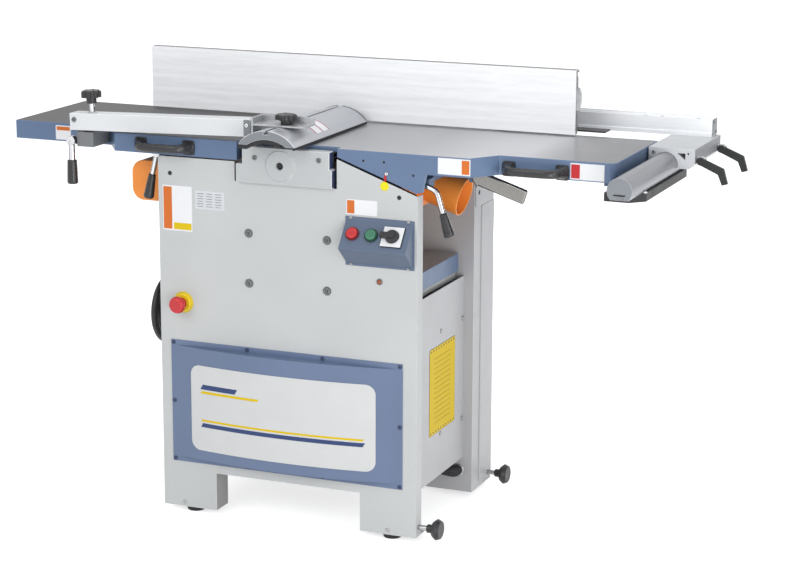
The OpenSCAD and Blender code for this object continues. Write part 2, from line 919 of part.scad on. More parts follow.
module outfeed_table() {
    color(iron) place() difference() {
        union() {
            translate([0, 0, plate_z]) linear_extrude(table_t) polygon(out_plan(0));
            block([out_x1 - wall, lip_y, plate_z], [cut_x - lip_gap, table_d, table_z]);
            difference() {
                translate([0, 0, apron_z]) linear_extrude(apron_h) polygon(out_plan(0));
                translate([0, 0,
                    apron_z - over]) linear_extrude(apron_h - table_t + over) polygon(out_plan(wall));
            }
            for (i = [1:3]) block([out_x1 - i * outfeed_l / 4, table_step, apron_z + rib_t],
                [out_x1 - i * outfeed_l / 4 + rib_t, table_d - wall / 2, plate_z + over]);
            block([out_x0 + wall / 2, table_d / 2, apron_z + rib_t],
                [out_x1 - wall / 2, table_d / 2 + rib_t, plate_z + over]);
            lever_lug(lock_l, plate_z + over);
            for (s = [-1, 1]) {
                x = -hinge_x + (s > 0 ? hinge_lug_x : -hinge_lug_x - hinge_eye_w);
                block([x, table_d - wall / 2, hinge_z - hinge_eye_r],
                    [x + hinge_eye_w, hinge_y, hinge_z + hinge_eye_r]);
                rod_x([x, hinge_y, hinge_z], hinge_eye_r, hinge_eye_w);
            }
        }
        rod_x([-hinge_x - hinge_w * 2, hinge_y, hinge_z], hinge_pin_r + run_c, hinge_w * 4);
        rod_y([lock_l[0], lug_y - over, lock_l[1]], lever_shaft_r + run_c, lug_l + 2 * over);
    }
}

module infeed_table() {
    skirt = [[in_x0, plate_z], [in_x0, skirt_z0], [in_x0 + skirt_run, skirt_z1],
        [in_x0 + skirt_run + skirt_tip, skirt_z1 + skirt_tip_rise],
        [in_x0 + skirt_run + skirt_back, apron_z], [in_x0 + skirt_run + skirt_back, plate_z]];
    color(iron) place() difference() {
        union() {
            translate([0, 0, plate_z]) linear_extrude(table_t) polygon(in_plan(0));
            block([cut_x + lip_gap, lip_y, plate_z], [in_x0 + wall, table_d, table_z]);
            difference() {
                translate([0, 0, apron_z]) linear_extrude(apron_h) polygon(in_plan(0));
                translate([0, 0,
                    apron_z - over]) linear_extrude(apron_h - table_t + over) polygon(in_plan(wall));
                slab_y(-over, lip_y + 2 * over, [[in_x0 - over, way_line(in_x0 - over) + over],
                    [in_x0 - over, apron_z - over],
                    [in_x0 + (skirt_z0 - apron_z + 2 * over) / tan_way, apron_z - over]]);
            }
            slab_y(0, skirt_t, skirt);
            for (x = foot_xs, y = foot_ys) slab_y(y - foot_w / 2, foot_w,
                [[x - foot_l / 2, plate_z + over], [x - foot_l / 2, way_z + foot_l / 2 * tan_way],
                [x + foot_l / 2, way_z - foot_l / 2 * tan_way], [x + foot_l / 2, plate_z + over]]);
            for (i = [1, 2]) block([in_x0 + (i + 1) * infeed_l / 4, table_step, apron_z + rib_t],
                [in_x0 + (i + 1) * infeed_l / 4 + rib_t, table_d - wall / 2, plate_z + over]);
            block([depth_x - lug_w, depth_y + depth_t, depth_z - lug_w / 2],
                [depth_x + lug_w, depth_y + depth_t + wall, plate_z + over]);
            for (y = [table_step + seat_w, table_d - 2 * seat_w]) block([in_x1 - seat_w, y,
                bracket_z + bracket_t],
                [in_x1, y + seat_w, plate_z + over]);
        }
        rod_y([depth_x, depth_y, depth_z], depth_pin_r + run_c, depth_t + 2 * wall);
    }
}

module infeed_saddle() {
    color(iron) place() difference() {
        union() {
            block([saddle_x0, saddle_y0, saddle_z], [saddle_x1, saddle_y1, saddle_top]);
            for (x = foot_xs, y = foot_ys) slab_y(y - foot_w / 2, foot_w,
                [[x - foot_l / 2, saddle_top - over], [x + foot_l / 2, saddle_top - over],
                [x + foot_l / 2, way_z - way_c - foot_l / 2 * tan_way],
                [x - foot_l / 2, way_z - way_c + foot_l / 2 * tan_way]]);
            block([lock_r[0] - lug_w / 2, saddle_y0, lock_r[1] - lug_w / 2],
                [lock_r[0] + lug_w / 2, saddle_y0 + lug_l, saddle_top]);
            for (s = [-1, 1]) {
                x = hinge_x + (s > 0 ? hinge_lug_x : -hinge_lug_x - hinge_eye_w);
                block([x, saddle_y1 - over, saddle_z],
                    [x + hinge_eye_w, hinge_y + hinge_eye_r, saddle_top + saddle_t]);
                block([x, hinge_y - hinge_eye_r, saddle_top],
                    [x + hinge_eye_w, hinge_y + hinge_eye_r, hinge_z]);
                rod_x([x, hinge_y, hinge_z], hinge_eye_r, hinge_eye_w);
            }
        }
        rod_x([hinge_x - hinge_w * 2, hinge_y, hinge_z], hinge_pin_r + run_c, hinge_w * 4);
        rod_y([lock_r[0], saddle_y0 - over, lock_r[1]], lever_shaft_r + run_c, lug_l + 2 * over);
        block([spout_x - spout_clear, spout_y - spout_r0 - spout_clear, saddle_z - over],
            [saddle_x1 + over, spout_y + spout_r0 + spout_clear, saddle_top + over]);
    }
}

module hinge_brackets() {
    color(grey_paint) place() for (s = [-1, 1]) translate([s * hinge_x, 0, 0]) difference() {
        union() {
            block([-hinge_w / 2, hinge_y - hinge_eye_r, rear_top],
                [hinge_w / 2, hinge_y + hinge_eye_r, hinge_z]);
            block([-hinge_w / 2, hinge_y - hinge_eye_r, rear_top],
                [hinge_w / 2, cab_d - sheet, rear_top + hinge_eye_r]);
            rod_x([-hinge_w / 2, hinge_y, hinge_z], hinge_eye_r, hinge_w);
        }
        rod_x([-hinge_w, hinge_y, hinge_z], hinge_pin_r + run_c, hinge_w * 2);
    }
}

module hinge_pins() {
    half = hinge_lug_x + hinge_eye_w + hinge_pin_out;
    color(steel) place() for (s = [-1, 1]) rod_x([s * hinge_x - half, hinge_y, hinge_z], hinge_pin_r,
        2 * half);
}

// Bridge handle: round bar on two flared feet
module bridge_handle(x, y, z) {
    for (s = [-1, 1]) hull() {
        translate([x + s * (grip_l - grip_foot) / 2, y - grip_out, z])
            rotate([0, 90, 0]) cylinder(h = grip_foot / 2, r = grip_bar_r, center = true, $fn = 24);
        translate([x + s * (grip_l - grip_foot) / 2, y - sheet, z])
            rotate([90, 0, 0]) cylinder(h = 2 * sheet, r = grip_foot * grip_flare_share, center = true,
                $fn = 24);
    }
    rod_x([x - grip_l / 2 + grip_foot / 3, y - grip_out, z], grip_bar_r, grip_l - 2 * grip_foot / 3);
}

module outfeed_handle() { color(dark) place() bridge_handle(out_grip_x, 0, table_z - grip_drop); }
module infeed_handle() { color(dark) place() bridge_handle(in_grip_x, table_step, table_z - in_grip_drop); }

// Point on a lock lever, from its place in X and Z
function lever_at(p) = [p[0], lever_mid_y, p[1]];

module lever_hub(p, l) {
    rod_y([p[0], lever_y, p[1]], lever_hub_r, lever_hub_w);
    rod_y([p[0], lever_y, p[1]], lever_shaft_r, l);
}

module lock_lever_left() {
    color(steel) place() {
        lever_hub(lock_l, lug_y + lug_l - lever_y);
        bar(lever_at(lock_l), lever_at(lock_l_mid), lever_r, lever_r);
    }
}

module lock_grip_left() {
    color(dark) place() {
        bar(lever_at(lock_l_mid), lever_at(lock_l_end), grip_r0, grip_r1);
    }
}

module lock_lever_right() {
    color(steel) place() {
        lever_hub(lock_r, saddle_y0 + lug_l - lever_y);
        bar(lever_at(lock_r), lever_at(lock_r_bend), lever_r, lever_r);
        translate(lever_at(lock_r_bend)) sphere(r = lever_r + face_c);
        bar(lever_at(lock_r_bend), lever_at(lock_r_mid), lever_r, lever_r);
    }
}

module lock_grip_right() {
    color(dark) place() bar(lever_at(lock_r_mid), lever_at(lock_r_end), grip_r0, grip_r1);
}

module depth_lever() {
    t = depth_t - face_c;
    color(steel) place() translate([depth_x, depth_y, depth_z]) {
        rotate([-90, 0, 0]) linear_extrude(t) union() {
            circle(r = depth_hub_r);
            rotate(depth_a) translate([0, -depth_h / 2]) square([depth_l, depth_h]);
        }
        rod_y([0, t / 2, 0], depth_pin_r, depth_t + wall - t / 2);
    }
}

// Round bar with a flat underneath, along Y
module flat_tube(y0, l, r, flat) {
    difference() {
        rod_y([tube_x, y0, tube_z], r, l);
        block([tube_x - 2 * r, y0 - over, tube_z - 2 * r], [tube_x + 2 * r, y0 + l + over, tube_z - flat]);
    }
}

module guide_tube() {
    color(alu) place() difference() {
        flat_tube(tube_y0, tube_l, tube_r, tube_flat);
        flat_tube(tube_y0 + cap_t, tube_l, tube_r - tube_wall, tube_flat - tube_wall);
    }
}

module tube_bracket() {
    x0 = in_x1 - bracket_in;
    x1 = tube_x + bracket_out;
    color(dark) place() translate([0, 0, bracket_z]) linear_extrude(bracket_t)
        polygon([[x0, bracket_y0], [x1 - bracket_cut, bracket_y0], [x1, bracket_y0 + bracket_cut],
            [x1, bracket_y1], [x0, bracket_y1]]);
}

module fence_carriage() {
    tri_x = car_x1 - 2 * car_side;
    color(alu) place() difference() {
        union() {
            block([car_x0, car_y0, car_z0], [car_x1, car_y0 + car_l, car_z1]);
            for (y = [clamp_front_y, clamp_rear_y]) {
                rod_y([car_x1 + clamp_out, y + clamp_t + face_c, clamp_z], clamp_hub_r, clamp_ear);
                block([car_x1 - over, y + clamp_t + face_c, clamp_z - clamp_hub_r],
                    [car_x1 + clamp_out, y + clamp_t + face_c + clamp_ear, clamp_z + clamp_hub_r]);
            }
        }
        rod_y([tube_x, car_y0 - over, tube_z], tube_r + face_c, car_l + 2 * over);
        block([tube_x - tube_r, car_y0 - over, car_z0 - over],
            [tube_x + tube_r, car_y0 + car_l + over, tube_z]);
        slab_y(car_y0 - over, car_l + 2 * over, [[tri_x - car_tri, car_z1 - car_side],
            [tri_x, car_z1 - car_side], [tri_x, car_z1 - car_tri - car_hole_in]]);
        slab_y(car_y0 - over, car_l + 2 * over, [[car_x1 - car_bevel, car_z0 - over],
            [car_x1 + over, car_z0 - over], [car_x1 + over, car_z0 + car_bevel]]);
        rod_y([car_x0 + car_side, car_y0 - over, car_z1 - car_side - car_hole_r], 2 * car_hole_r, car_side);
        rod_y([tri_x + car_hole_in, car_y0 - over, car_z1 - car_side], car_hole_r, car_side);
        for (y = [clamp_front_y, clamp_rear_y])
            rod_y([car_x1 + clamp_out, y, clamp_z], clamp_pin_r + run_c, clamp_t + 2 * clamp_ear);
    }
}

module fence_beam() {
    color(alu) place() difference() {
        union() {
            block([beam_x0, beam_y0, car_z1], [beam_x1, beam_y1, car_z1 + beam_s]);
            block([beam_x0, beam_y0 - ledge_d, car_z1], [beam_x1, beam_y0 + beam_wall, car_z1 + ledge_h]);
            for (y = [beam_y0 + ledge_d, beam_y1 - ledge_d - beam_wall])
                block([beam_x0, y, car_z1 + ledge_h], [beam_x1, y + beam_wall, car_z1 + beam_s + beam_wall]);
        }
        block([beam_x0 - over, beam_y0 + beam_wall, car_z1 + beam_wall],
            [beam_x1 - beam_wall, beam_y1 - beam_wall, car_z1 + beam_s - beam_wall]);
    }
}

// Pair of arms from the beam, joined by the pin that the fence tilts on
module fence_arms() {
    color(dark) place() {
        for (x = arm_xs) {
            block([x, pivot_y, pivot_z - arm_h / 2], [x + arm_t, beam_y0, pivot_z + arm_h / 2]);
            rod_x([x, pivot_y, pivot_z], arm_h / 2, arm_t);
        }
        rod_x([arm_xs[0] - eye_l - eye_gap, pivot_y, pivot_z], pivot_r,
            arm_xs[1] - arm_xs[0] + arm_t + 2 * (eye_l + eye_gap));
    }
}

module fence() {
    top = fence_z + fence_h;
    back = fence_y + fence_t;
    profile = [[fence_y, fence_z], [back, fence_z], [back, top - 3 * fence_lip],
        [back - fence_lip, top - 2 * fence_lip],
        [back - fence_lip, top - fence_lip], [back + fence_lip, top - fence_lip],
            [back + fence_lip, top], [fence_y, top]];
    color(alu) place() difference() {
        union() {
            slab_x(fence_x0, fence_l, profile);
            rod_x([fence_x0, back, spine_z], spine_r, fence_l);
            for (x = [arm_xs[0] - eye_gap - eye_l, arm_xs[1] + arm_t + eye_gap]) {
                block([x, back - over, pivot_z - eye_r], [x + eye_l, pivot_y, pivot_z + eye_r]);
                rod_x([x, pivot_y, pivot_z], eye_r, eye_l);
            }
        }
        block([fence_x0 - over, fence_y - 2 * spine_r, fence_z - over],
            [fence_x1 + over, fence_y, top + over]);
        rod_x([fence_x0 - over, back, spine_z], spine_r - fence_wall, fence_l + 2 * over);
        rod_x([arm_xs[0] - 2 * eye_l, pivot_y, pivot_z], pivot_r + run_c,
            arm_xs[1] - arm_xs[0] + 4 * eye_l);
    }
    color(alu) place() block([fence_x0, fence_y, spine_z - spine_r],
        [fence_x1, fence_y + fence_wall, spine_z + spine_r]);
}

module fence_cover() {
    color(dark) place() block([arm_xs[1] + cover_past - cover_l, cover_y, cover_z],
        [arm_xs[1] + cover_past, cover_y + cover_d, cover_z + cover_t]);
}

// Bent strap lever on a pin along Y
module clamp_lever(y) {
    x = car_x1 + clamp_out;
    outline = [[x, clamp_z + clamp_hub_r],
        [x + clamp_run + clamp_hub_r, clamp_z - clamp_fall + clamp_w / 2],
        [x + clamp_run + clamp_hub_r + clamp_tip_run, clamp_z - clamp_fall - clamp_tip_fall],
        [x + clamp_run - clamp_hub_r / 2 + clamp_tip_run,
            clamp_z - clamp_fall - clamp_tip_fall - clamp_t / 2],
        [x + clamp_run - clamp_hub_r / 2, clamp_z - clamp_fall - clamp_w / 2], [x, clamp_z - clamp_hub_r]];
    color(dark) place() {
        slab_y(y, clamp_t, outline);
        rod_y([x, y, clamp_z], clamp_hub_r, clamp_t);
        rod_y([x, y, clamp_z], clamp_pin_r, clamp_t + clamp_ear);
    }
}
module clamp_lever_front() { clamp_lever(clamp_front_y); }
module clamp_lever_rear() { clamp_lever(clamp_rear_y); }

module guard_bracket() {
    color(steel) place() difference() {
        union() {
            block([br_x0, br_front, br_z0], [br_x0 + br_w, table_step, br_z1]);
            block([br_x0, -tongue_t / 2, br_z1 - over], [br_x0 + tongue_w, tongue_t / 2, arm_pin_z]);
            rod_y([arm_x, -tongue_t / 2, arm_pin_z], tongue_w / 2, tongue_t);
            rod_y([ear_x, ear_y0, ear_z], ear_r, ear_t);
            block([ear_x, ear_y0, ear_z - ear_r], [br_x0 + over, ear_y0 + ear_t, ear_z + ear_r]);
        }
        rod_y([arm_x, -arm_s, arm_pin_z], arm_pin_r + run_c, 2 * arm_s);
        rod_y([ear_x, ear_y0 - over, ear_z], arm_pin_r + run_c, ear_t + 2 * over);
    }
}

module guard_arm() {
    color(grey_paint) place() difference() {
        translate([arm_x, 0, arm_pin_z]) rotate([0, -arm_rise, 0]) translate([-arm_x, 0, -arm_pin_z]) {
            difference() {
                block([arm_x - arm_left, -arm_s / 2, arm_low],
                    [arm_end_x + 2 * arm_left, arm_s / 2, arm_low + arm_s]);
                block([arm_x - arm_left + arm_wall, arm_wall - arm_s / 2, arm_low - over],
                    [arm_end_x + 3 * arm_left, arm_s / 2 - arm_wall, arm_low + arm_s - arm_wall]);
                rod_z([knob_x, 0, arm_low], knob_shaft_r + run_c, 2 * arm_s);
            }
            rod_y([arm_x, -arm_s / 2, arm_pin_z], arm_pin_r, arm_s);
        }
        block([arm_end_x, -arm_s, 0], [arm_end_x + 4 * arm_left, arm_s, 2 * table_z]);
    }
}

// Lobed hand knob on a neck, axis along Z
module lobed_knob(r, h, n) {
    neck_h = h * neck_h_share;
    rim_h = h * rim_h_share;
    difference() {
        union() {
            cylinder(h = neck_h, r = r * neck_r_share);
            translate([0, 0, neck_h]) cylinder(h = h - neck_h - rim_h, r = r);
            translate([0, 0, h - rim_h]) cylinder(h = rim_h, r1 = r, r2 = r * knob_crown_share);
        }
        for (i = [0:n - 1]) rotate(i * 360 / n) translate([r * lobe_at_share, 0, neck_h / 2])
            cylinder(h = h, r = r * lobe_r_share);
    }
}

module height_knob() {
    color(dark) place() translate([arm_x, 0, arm_pin_z]) rotate([0, -arm_rise, 0])
        translate([knob_x - arm_x, 0, -arm_pin_z]) {
            translate([0, 0, br_z1 + 2 * face_c]) cylinder(h = knob_z - br_z1 - 2 * face_c,
                r = knob_shaft_r);
            translate([0, 0, knob_z - knob_h / 2]) lobed_knob(knob_r, knob_h, height_lobes);
        }
}

module arm_lever() {
    color(steel) place() {
        rod_y([ear_x, fold_y - fold_r, ear_z], fold_hub_r, ear_y0 - fold_y + fold_r - face_c);
        rod_y([ear_x, fold_y, ear_z], arm_pin_r, ear_y0 + ear_t - fold_y);
        rod_z([ear_x, fold_y - fold_in, ear_z - fold_l], fold_r, fold_l);
    }
}

module arm_grip() {
    color(dark) place() rod_z([ear_x, fold_y - fold_in, ear_z - fold_l - fold_grip_l],
        fold_grip_r, fold_grip_l);
}

module guard_holder() {
    y1 = hold_y0 + hold_w;
    color(alu) place() difference() {
        union() {
            block([arm_end_x, hold_y0, hold_z - hold_drop],
                [arm_end_x + hold_wall, y1, hold_z + hold_t + hold_up]);
            block([arm_end_x, hold_y0, hold_z], [hold_x1, y1, hold_z + hold_t]);
            block([arm_end_x, y1 - hold_wall, hold_z], [hold_x1, y1, hold_z + hold_t + hold_up]);
            block([guard_x - slot_w / 2 + face_c, hold_y0, hold_z - slot_d],
                [guard_x + slot_w / 2 - face_c, y1, hold_z + over]);
        }
        rod_z([gknob_x, gknob_y, hold_z - over], knob_shaft_r + run_c, hold_t + 2 * over);
    }
}

module guard() {
    y1 = guard_y0 + guard_l;
    color(alu) place() difference() {
        union() {
            intersection() {
                difference() {
                    rod_y([guard_x, guard_y0, guard_cz], guard_arc, guard_l);
                    rod_y([guard_x, guard_y0 + cap_plate, guard_cz], guard_arc - guard_t,
                        guard_l - 2 * cap_plate);
                }
                block([guard_x - guard_w, guard_y0 - over, guard_low],
                    [guard_x + guard_w, y1 + over, guard_top + over]);
            }
            intersection() {
                block([guard_x - spine_w / 2, guard_y0, guard_top - spine_t],
                    [guard_x + spine_w / 2, y1, guard_top]);
                rod_y([guard_x, guard_y0, guard_cz], guard_arc, guard_l);
            }
        }
        rod_y([guard_x, guard_y0 - over, guard_cz - cap_h], guard_arc, guard_l + 2 * over);
        block([guard_x - slot_w / 2, guard_y0 - over, guard_top - slot_d - tee_h],
            [guard_x + slot_w / 2, y1 + over, guard_top + over]);
        block([guard_x - tee_w / 2, guard_y0 - over, guard_top - slot_d - tee_h],
            [guard_x + tee_w / 2, y1 + over, guard_top - slot_d - over]);
    }
}

module guard_rubber() {
    y1 = guard_y0 + guard_l;
    color(dark) place() for (s = [-1, 1]) {
        x = guard_x + s * guard_w / 2;
        block([x - (s > 0 ? rub_t : 0), guard_y0, guard_low - rub_h],
            [x + (s > 0 ? 0 : rub_t), y1, guard_low]);
    }
}

module guard_knob() {
    color(dark) place() translate([gknob_x, gknob_y, 0]) {
        translate([0, 0, hold_z + face_c]) cylinder(h = hold_t, r = knob_shaft_r);
        translate([0, 0, hold_z + hold_t + face_c]) lobed_knob(gknob_r, gknob_h, guard_lobes);
    }
}

module thicknesser_table() {
    low = thick_z - thick_t;
    color(iron) place() difference() {
        union() {
            difference() {
                block([-thick_w / 2, thick_y0, low], [thick_w / 2, thick_y1, thick_z]);
                block([thick_wall - thick_w / 2, thick_y0 + thick_wall, low - over],
                    [thick_w / 2 - thick_wall, thick_y1 - thick_wall, thick_z - thick_plate]);
            }
            for (i = [-2:2]) block([i * thick_w / 6 - thick_wall / 2, thick_y0 + thick_wall / 2,
                low + thick_wall],
                [i * thick_w / 6 + thick_wall / 2, thick_y1 - thick_wall / 2, thick_z - thick_plate / 2]);
            rod_z([0, mid_y, low], column_r + thick_wall, thick_t - thick_plate / 2);
            rod_z([screw_x, mid_y, nut_z], screw_r + nut_wall, nut_l + thick_t - thick_plate / 2);
        }
        rod_z([screw_x, mid_y, nut_z - over], screw_r + face_c, nut_l + thick_t - thick_plate + over);
    }
}

module table_column() {
    color(steel) place() rod_z([0, mid_y, thick_z - thick_t - col_l], column_r, col_l);
}

module column_guide() {
    outer = column_r + guide_wall;
    z0 = floor_z + floor_t;
    color(iron) place() difference() {
        union() {
            rod_z([0, mid_y, z0], outer, guide_top - z0);
            rod_z([0, mid_y, z0], outer + guide_flange, guide_flange_t);
            for (a = [45:90:315]) translate([0, mid_y, z0]) rotate([0, 0, a]) translate([0,
                guide_rib_t / 2, 0])
                rotate([90, 0, 0]) linear_extrude(guide_rib_t)
                    polygon([[column_r + guide_wall / 2, 0], [outer + guide_flange, 0],
                        [outer + guide_flange, guide_flange_t],
                        [outer, guide_rib_h], [column_r + guide_wall / 2, guide_rib_h]]);
        }
        rod_z([0, mid_y, z0 - over], column_r + run_c, guide_top - z0 + 2 * over);
    }
}

// Shelf off the left side panel: foot bearing of the lead screw and post for the handwheel shaft
module drive_bracket() {
    z1 = gear_z - face_c;
    color(iron) place() difference() {
        union() {
            block([sheet - side_x, mid_y - mount_w / 2, z1 - mount_t],
                [screw_x + mount_in, mid_y + mount_w / 2, z1]);
            for (p = [[sheet - side_x, bush_t], [post_x, post_w]]) {
                block([p[0], mid_y - bush_r, z1 - over], [p[0] + p[1], mid_y + bush_r, wheel_z]);
                rod_x([p[0], mid_y, wheel_z], bush_r, p[1]);
            }
        }
        rod_x([-side_x, mid_y, wheel_z], wshaft_r + run_c, side_x);
        rod_z([screw_x, mid_y, z1 - mount_t - over], journal_r + run_c, mount_t + 2 * over);
    }
}

module lead_screw() {
    color(steel) place() {
        rod_z([screw_x, mid_y, gear_z], screw_r, screw_top - gear_z);
        rod_z([screw_x, mid_y, gear_z - mount_t], journal_r, mount_t);
        translate([screw_x, mid_y, gear_z]) cylinder(h = gear_h, r1 = gear_r * bevel_share, r2 = gear_r);
    }
}

module handwheel() {
    color(dark) place() translate([wheel_x, mid_y, wheel_z]) rotate([0, 90, 0]) {
        difference() {
            union() {
                rotate_extrude() translate([wheel_r - wheel_rim, 0]) circle(r = wheel_rim);
                translate([0, 0, -wheel_web / 2]) cylinder(h = wheel_web, r = wheel_r - wheel_rim);
                translate([0, 0, -wheel_hub_l / 2]) cylinder(h = wheel_hub_l, r = wheel_hub_r);
            }
            for (i = [0:wheel_hole_n - 1]) rotate(i * 360 / wheel_hole_n)
                translate([wheel_ring, 0, -wheel_web]) cylinder(h = 2 * wheel_web, r = wheel_hole_r);
        }
        cylinder(h = pinion_x - wheel_x, r = wshaft_r);
        translate([0, 0, pinion_x - wheel_x]) cylinder(h = pinion_w, r1 = pinion_r,
            r2 = pinion_r * bevel_share);
    }
}

// Hollow chute under the cutterblock with a rounded left end and a flared round spout
module hood_chute(g) {
    low = hood_low + g;
    corner_x = hood_end_x + hood_corner;
    corner_zs = [hood_low + hood_corner, hood_high - hood_corner];
    pts = [[corner_x, low], [hood_in_l, hood_mid_low + g], [hood_in_r, hood_mid_low + g],
        [hood_right - g, hood_right_low + g], [hood_right - g, hood_right_high - g],
        [hood_in_r, hood_waist - g], [hood_in_l, hood_waist - g], [hood_sh_l, hood_high - g],
        [corner_x, hood_high - g]];
    slab_y(hood_y0 + g, hood_y1 - hood_y0 - 2 * g, pts);
    block([hood_end_x + g, hood_y0 + g, corner_zs[0]], [hood_left, hood_y1 - g, corner_zs[1]]);
    for (z = corner_zs)
        rod_y([corner_x, hood_y0 + g, z], hood_corner - g, hood_y1 - hood_y0 - 2 * g);
}

module spout(g, extra) {
    translate([spout_x, spout_y, spout_z]) rotate([0, 90 + spout_a, 0])
        translate([0, 0, -extra]) cylinder(h = spout_l + 2 * extra, r1 = spout_r0 - g, r2 = mouth_r - g);
}

module dust_hood() {
    color(orange) place() difference() {
        union() {
            hood_chute(0);
            spout(0, 0);
            rod_y([cut_x, bear_back, pin_hood_z], pin_hood_r, hood_y0 - bear_back + over);
            rod_y([cut_x, hood_y1 - over, pin_hood_z], pin_hood_r, rear_y - bear_t - hood_y1 + over);
        }
        hood_chute(hood_wall);
        intersection() {
            spout(hood_wall, over);
            block([hood_in_r, hood_y0 + hood_wall, 0], [2 * cab_r, hood_y1 - hood_wall, table_z]);
        }
        block([cut_x - hood_slot, hood_y0 + hood_wall, hood_waist - 2 * hood_wall],
            [cut_x + hood_slot, hood_y1 - hood_wall, hood_waist + over]);
    }
}

// Frame on the switch box's upper face: origin on the face, Z along its normal
module on_face(x) {
    translate([x, -box_plate - (box_out - box_plate) * face_mid_share,
        box_z0 + box_h - box_flange - box_upper * face_mid_share]) rotate([face_a, 0, 0]) children();
}

module switch_box() {
    z1 = box_z0 + box_h;
    half = box_w / 2;
    color(blue_paint) place() difference() {
        union() {
            block([box_x - half, -box_plate, box_z0], [box_x + half, 0, z1]);
            slab_x(box_x - half + box_flange / 2, box_w - box_flange,
                [[-box_plate, z1 - box_flange], [-box_out, box_z0 + box_ridge_h],
                    [-box_plate, box_z0 + box_flange]]);
        }
        for (x = [red_x, green_x]) on_face(x) translate([0, 0, -button_in])
            cylinder(h = 2 * button_in, r = button_r + face_c);
    }
}

module switch_bezels() {
    color(dark) place() {
        for (x = [red_x, green_x]) on_face(x) difference() {
            cylinder(h = bezel_h, r = bezel_r);
            translate([0, 0, -over]) cylinder(h = bezel_h + 2 * over, r = button_r + face_c);
        }
        on_face(sel_x) difference() {
            translate([-sel_s / 2, -sel_s / 2, 0]) cube([sel_s, sel_s, sel_t]);
            translate([0, 0, sel_t / 2]) cylinder(h = sel_t, r = sel_pin_r + run_c);
        }
    }
}

// Round push button with a chamfered rim
module push_button(x) {
    on_face(x) translate([0, 0, -button_seat]) {
        cylinder(h = button_seat + button_h - button_rim, r = button_r);
        translate([0, 0, button_seat + button_h - button_rim])
            cylinder(h = button_rim, r1 = button_r, r2 = button_r - button_rim);
    }
}
module stop_button() { color(signal_red) place() push_button(red_x); }
module start_button() { color(signal_green) place() push_button(green_x); }

module selector_knob() {
    color(dark) place() on_face(sel_x) {
        translate([0, 0, sel_t / 2 + face_c]) cylinder(h = sel_t, r = sel_pin_r);
        translate([0, 0, sel_t + face_c]) cylinder(h = sel_knob_h, r1 = sel_knob_r,
            r2 = sel_knob_r * knob_crown_share);
        translate([-sel_bar_l, -sel_bar_w / 2, sel_t + face_c]) cube([sel_bar_l + sel_knob_r / 2,
            sel_bar_w, sel_bar_h]);
    }
}

module emergency_base() {
    color(signal_yellow) place() translate([estop_x, 0, estop_z]) rotate([90, 0, 0]) difference() {
        cylinder(h = estop_base_t, r1 = estop_base_r, r2 = estop_base_r * knob_crown_share);
        translate([0, 0, -over]) cylinder(h = estop_base_t + 2 * over, r = estop_stem_r + run_c);
    }
}

module emergency_button() {
    rim = estop_head_t / 2;
    color(signal_red) place() translate([estop_x, 0, estop_z]) rotate([90, 0, 0]) {
        translate([0, 0, estop_base_t - estop_in]) cylinder(h = estop_stem_l + estop_in, r = estop_stem_r);
        translate([0, 0, estop_base_t + estop_stem_l]) cylinder(h = rim, r = stop_r);
        translate([0, 0, estop_base_t + estop_stem_l + rim])
            cylinder(h = rim, r1 = stop_r, r2 = stop_r * knob_crown_share);
    }
}

front_sheet();
rear_box();
side_panel_left();
side_panel_right();
floor_plate();
rubber_feet();
side_knob_front();
side_knob_rear();
front_cover();
cover_window();
fasteners();
bearing_front();
bearing_rear();
cutterblock();
feed_roller_in();
feed_roller_out();
outfeed_table();
infeed_table();
infeed_saddle();
hinge_brackets();
hinge_pins();
outfeed_handle();
infeed_handle();
lock_lever_left();
lock_grip_left();
lock_lever_right();
lock_grip_right();
depth_lever();
guide_tube();
tube_bracket();
fence_carriage();
fence_beam();
fence_arms();
fence();
fence_cover();
clamp_lever_front();
clamp_lever_rear();
guard_bracket();
guard_arm();
height_knob();
arm_lever();
arm_grip();
guard_holder();
guard();
guard_rubber();
guard_knob();
thicknesser_table();
table_column();
column_guide();
drive_bracket();
lead_screw();
handwheel();
dust_hood();
switch_box();
switch_bezels();
stop_button();
start_button();
selector_knob();
emergency_base();
emergency_button();
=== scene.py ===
import bpy
import math
from mathutils import Matrix, Vector


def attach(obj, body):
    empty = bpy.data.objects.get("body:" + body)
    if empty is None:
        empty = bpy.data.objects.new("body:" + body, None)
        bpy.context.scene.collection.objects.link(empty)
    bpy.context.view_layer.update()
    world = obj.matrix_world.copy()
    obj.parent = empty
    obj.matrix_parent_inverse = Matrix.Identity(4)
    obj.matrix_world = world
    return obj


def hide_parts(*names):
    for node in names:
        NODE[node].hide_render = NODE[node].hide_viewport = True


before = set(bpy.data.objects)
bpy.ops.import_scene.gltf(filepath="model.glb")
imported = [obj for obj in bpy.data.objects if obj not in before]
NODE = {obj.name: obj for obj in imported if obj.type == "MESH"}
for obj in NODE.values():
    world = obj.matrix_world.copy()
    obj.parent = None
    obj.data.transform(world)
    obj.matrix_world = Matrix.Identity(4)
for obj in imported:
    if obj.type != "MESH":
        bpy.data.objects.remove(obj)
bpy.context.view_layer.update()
scene = bpy.context.scene

# Measures below are in mm: X along the tables from the cabinet's middle, Y back from its front, Z up.
# The shared frame's origin lies at this X and Y.
MID_X, MID_Y = 100.5, 227.5


def place(x, y, z):
    """Point in metres of the shared frame."""
    return Vector(((x - MID_X) / 1000, (y - MID_Y) / 1000, z / 1000))


# Faces and heights that several pieces share
SHEET_Y, APRON_Y, BEARING_Y, ARM_Y, TUBE_Y = 0, 66, -10, -20, -45
LEVER_Y = 21.1
TABLE_Z, BED_Z, FENCE_Z = 907, 611, 1061.5
PANEL_X, COLUMN_X = 300, 325
NEAR = 0.5

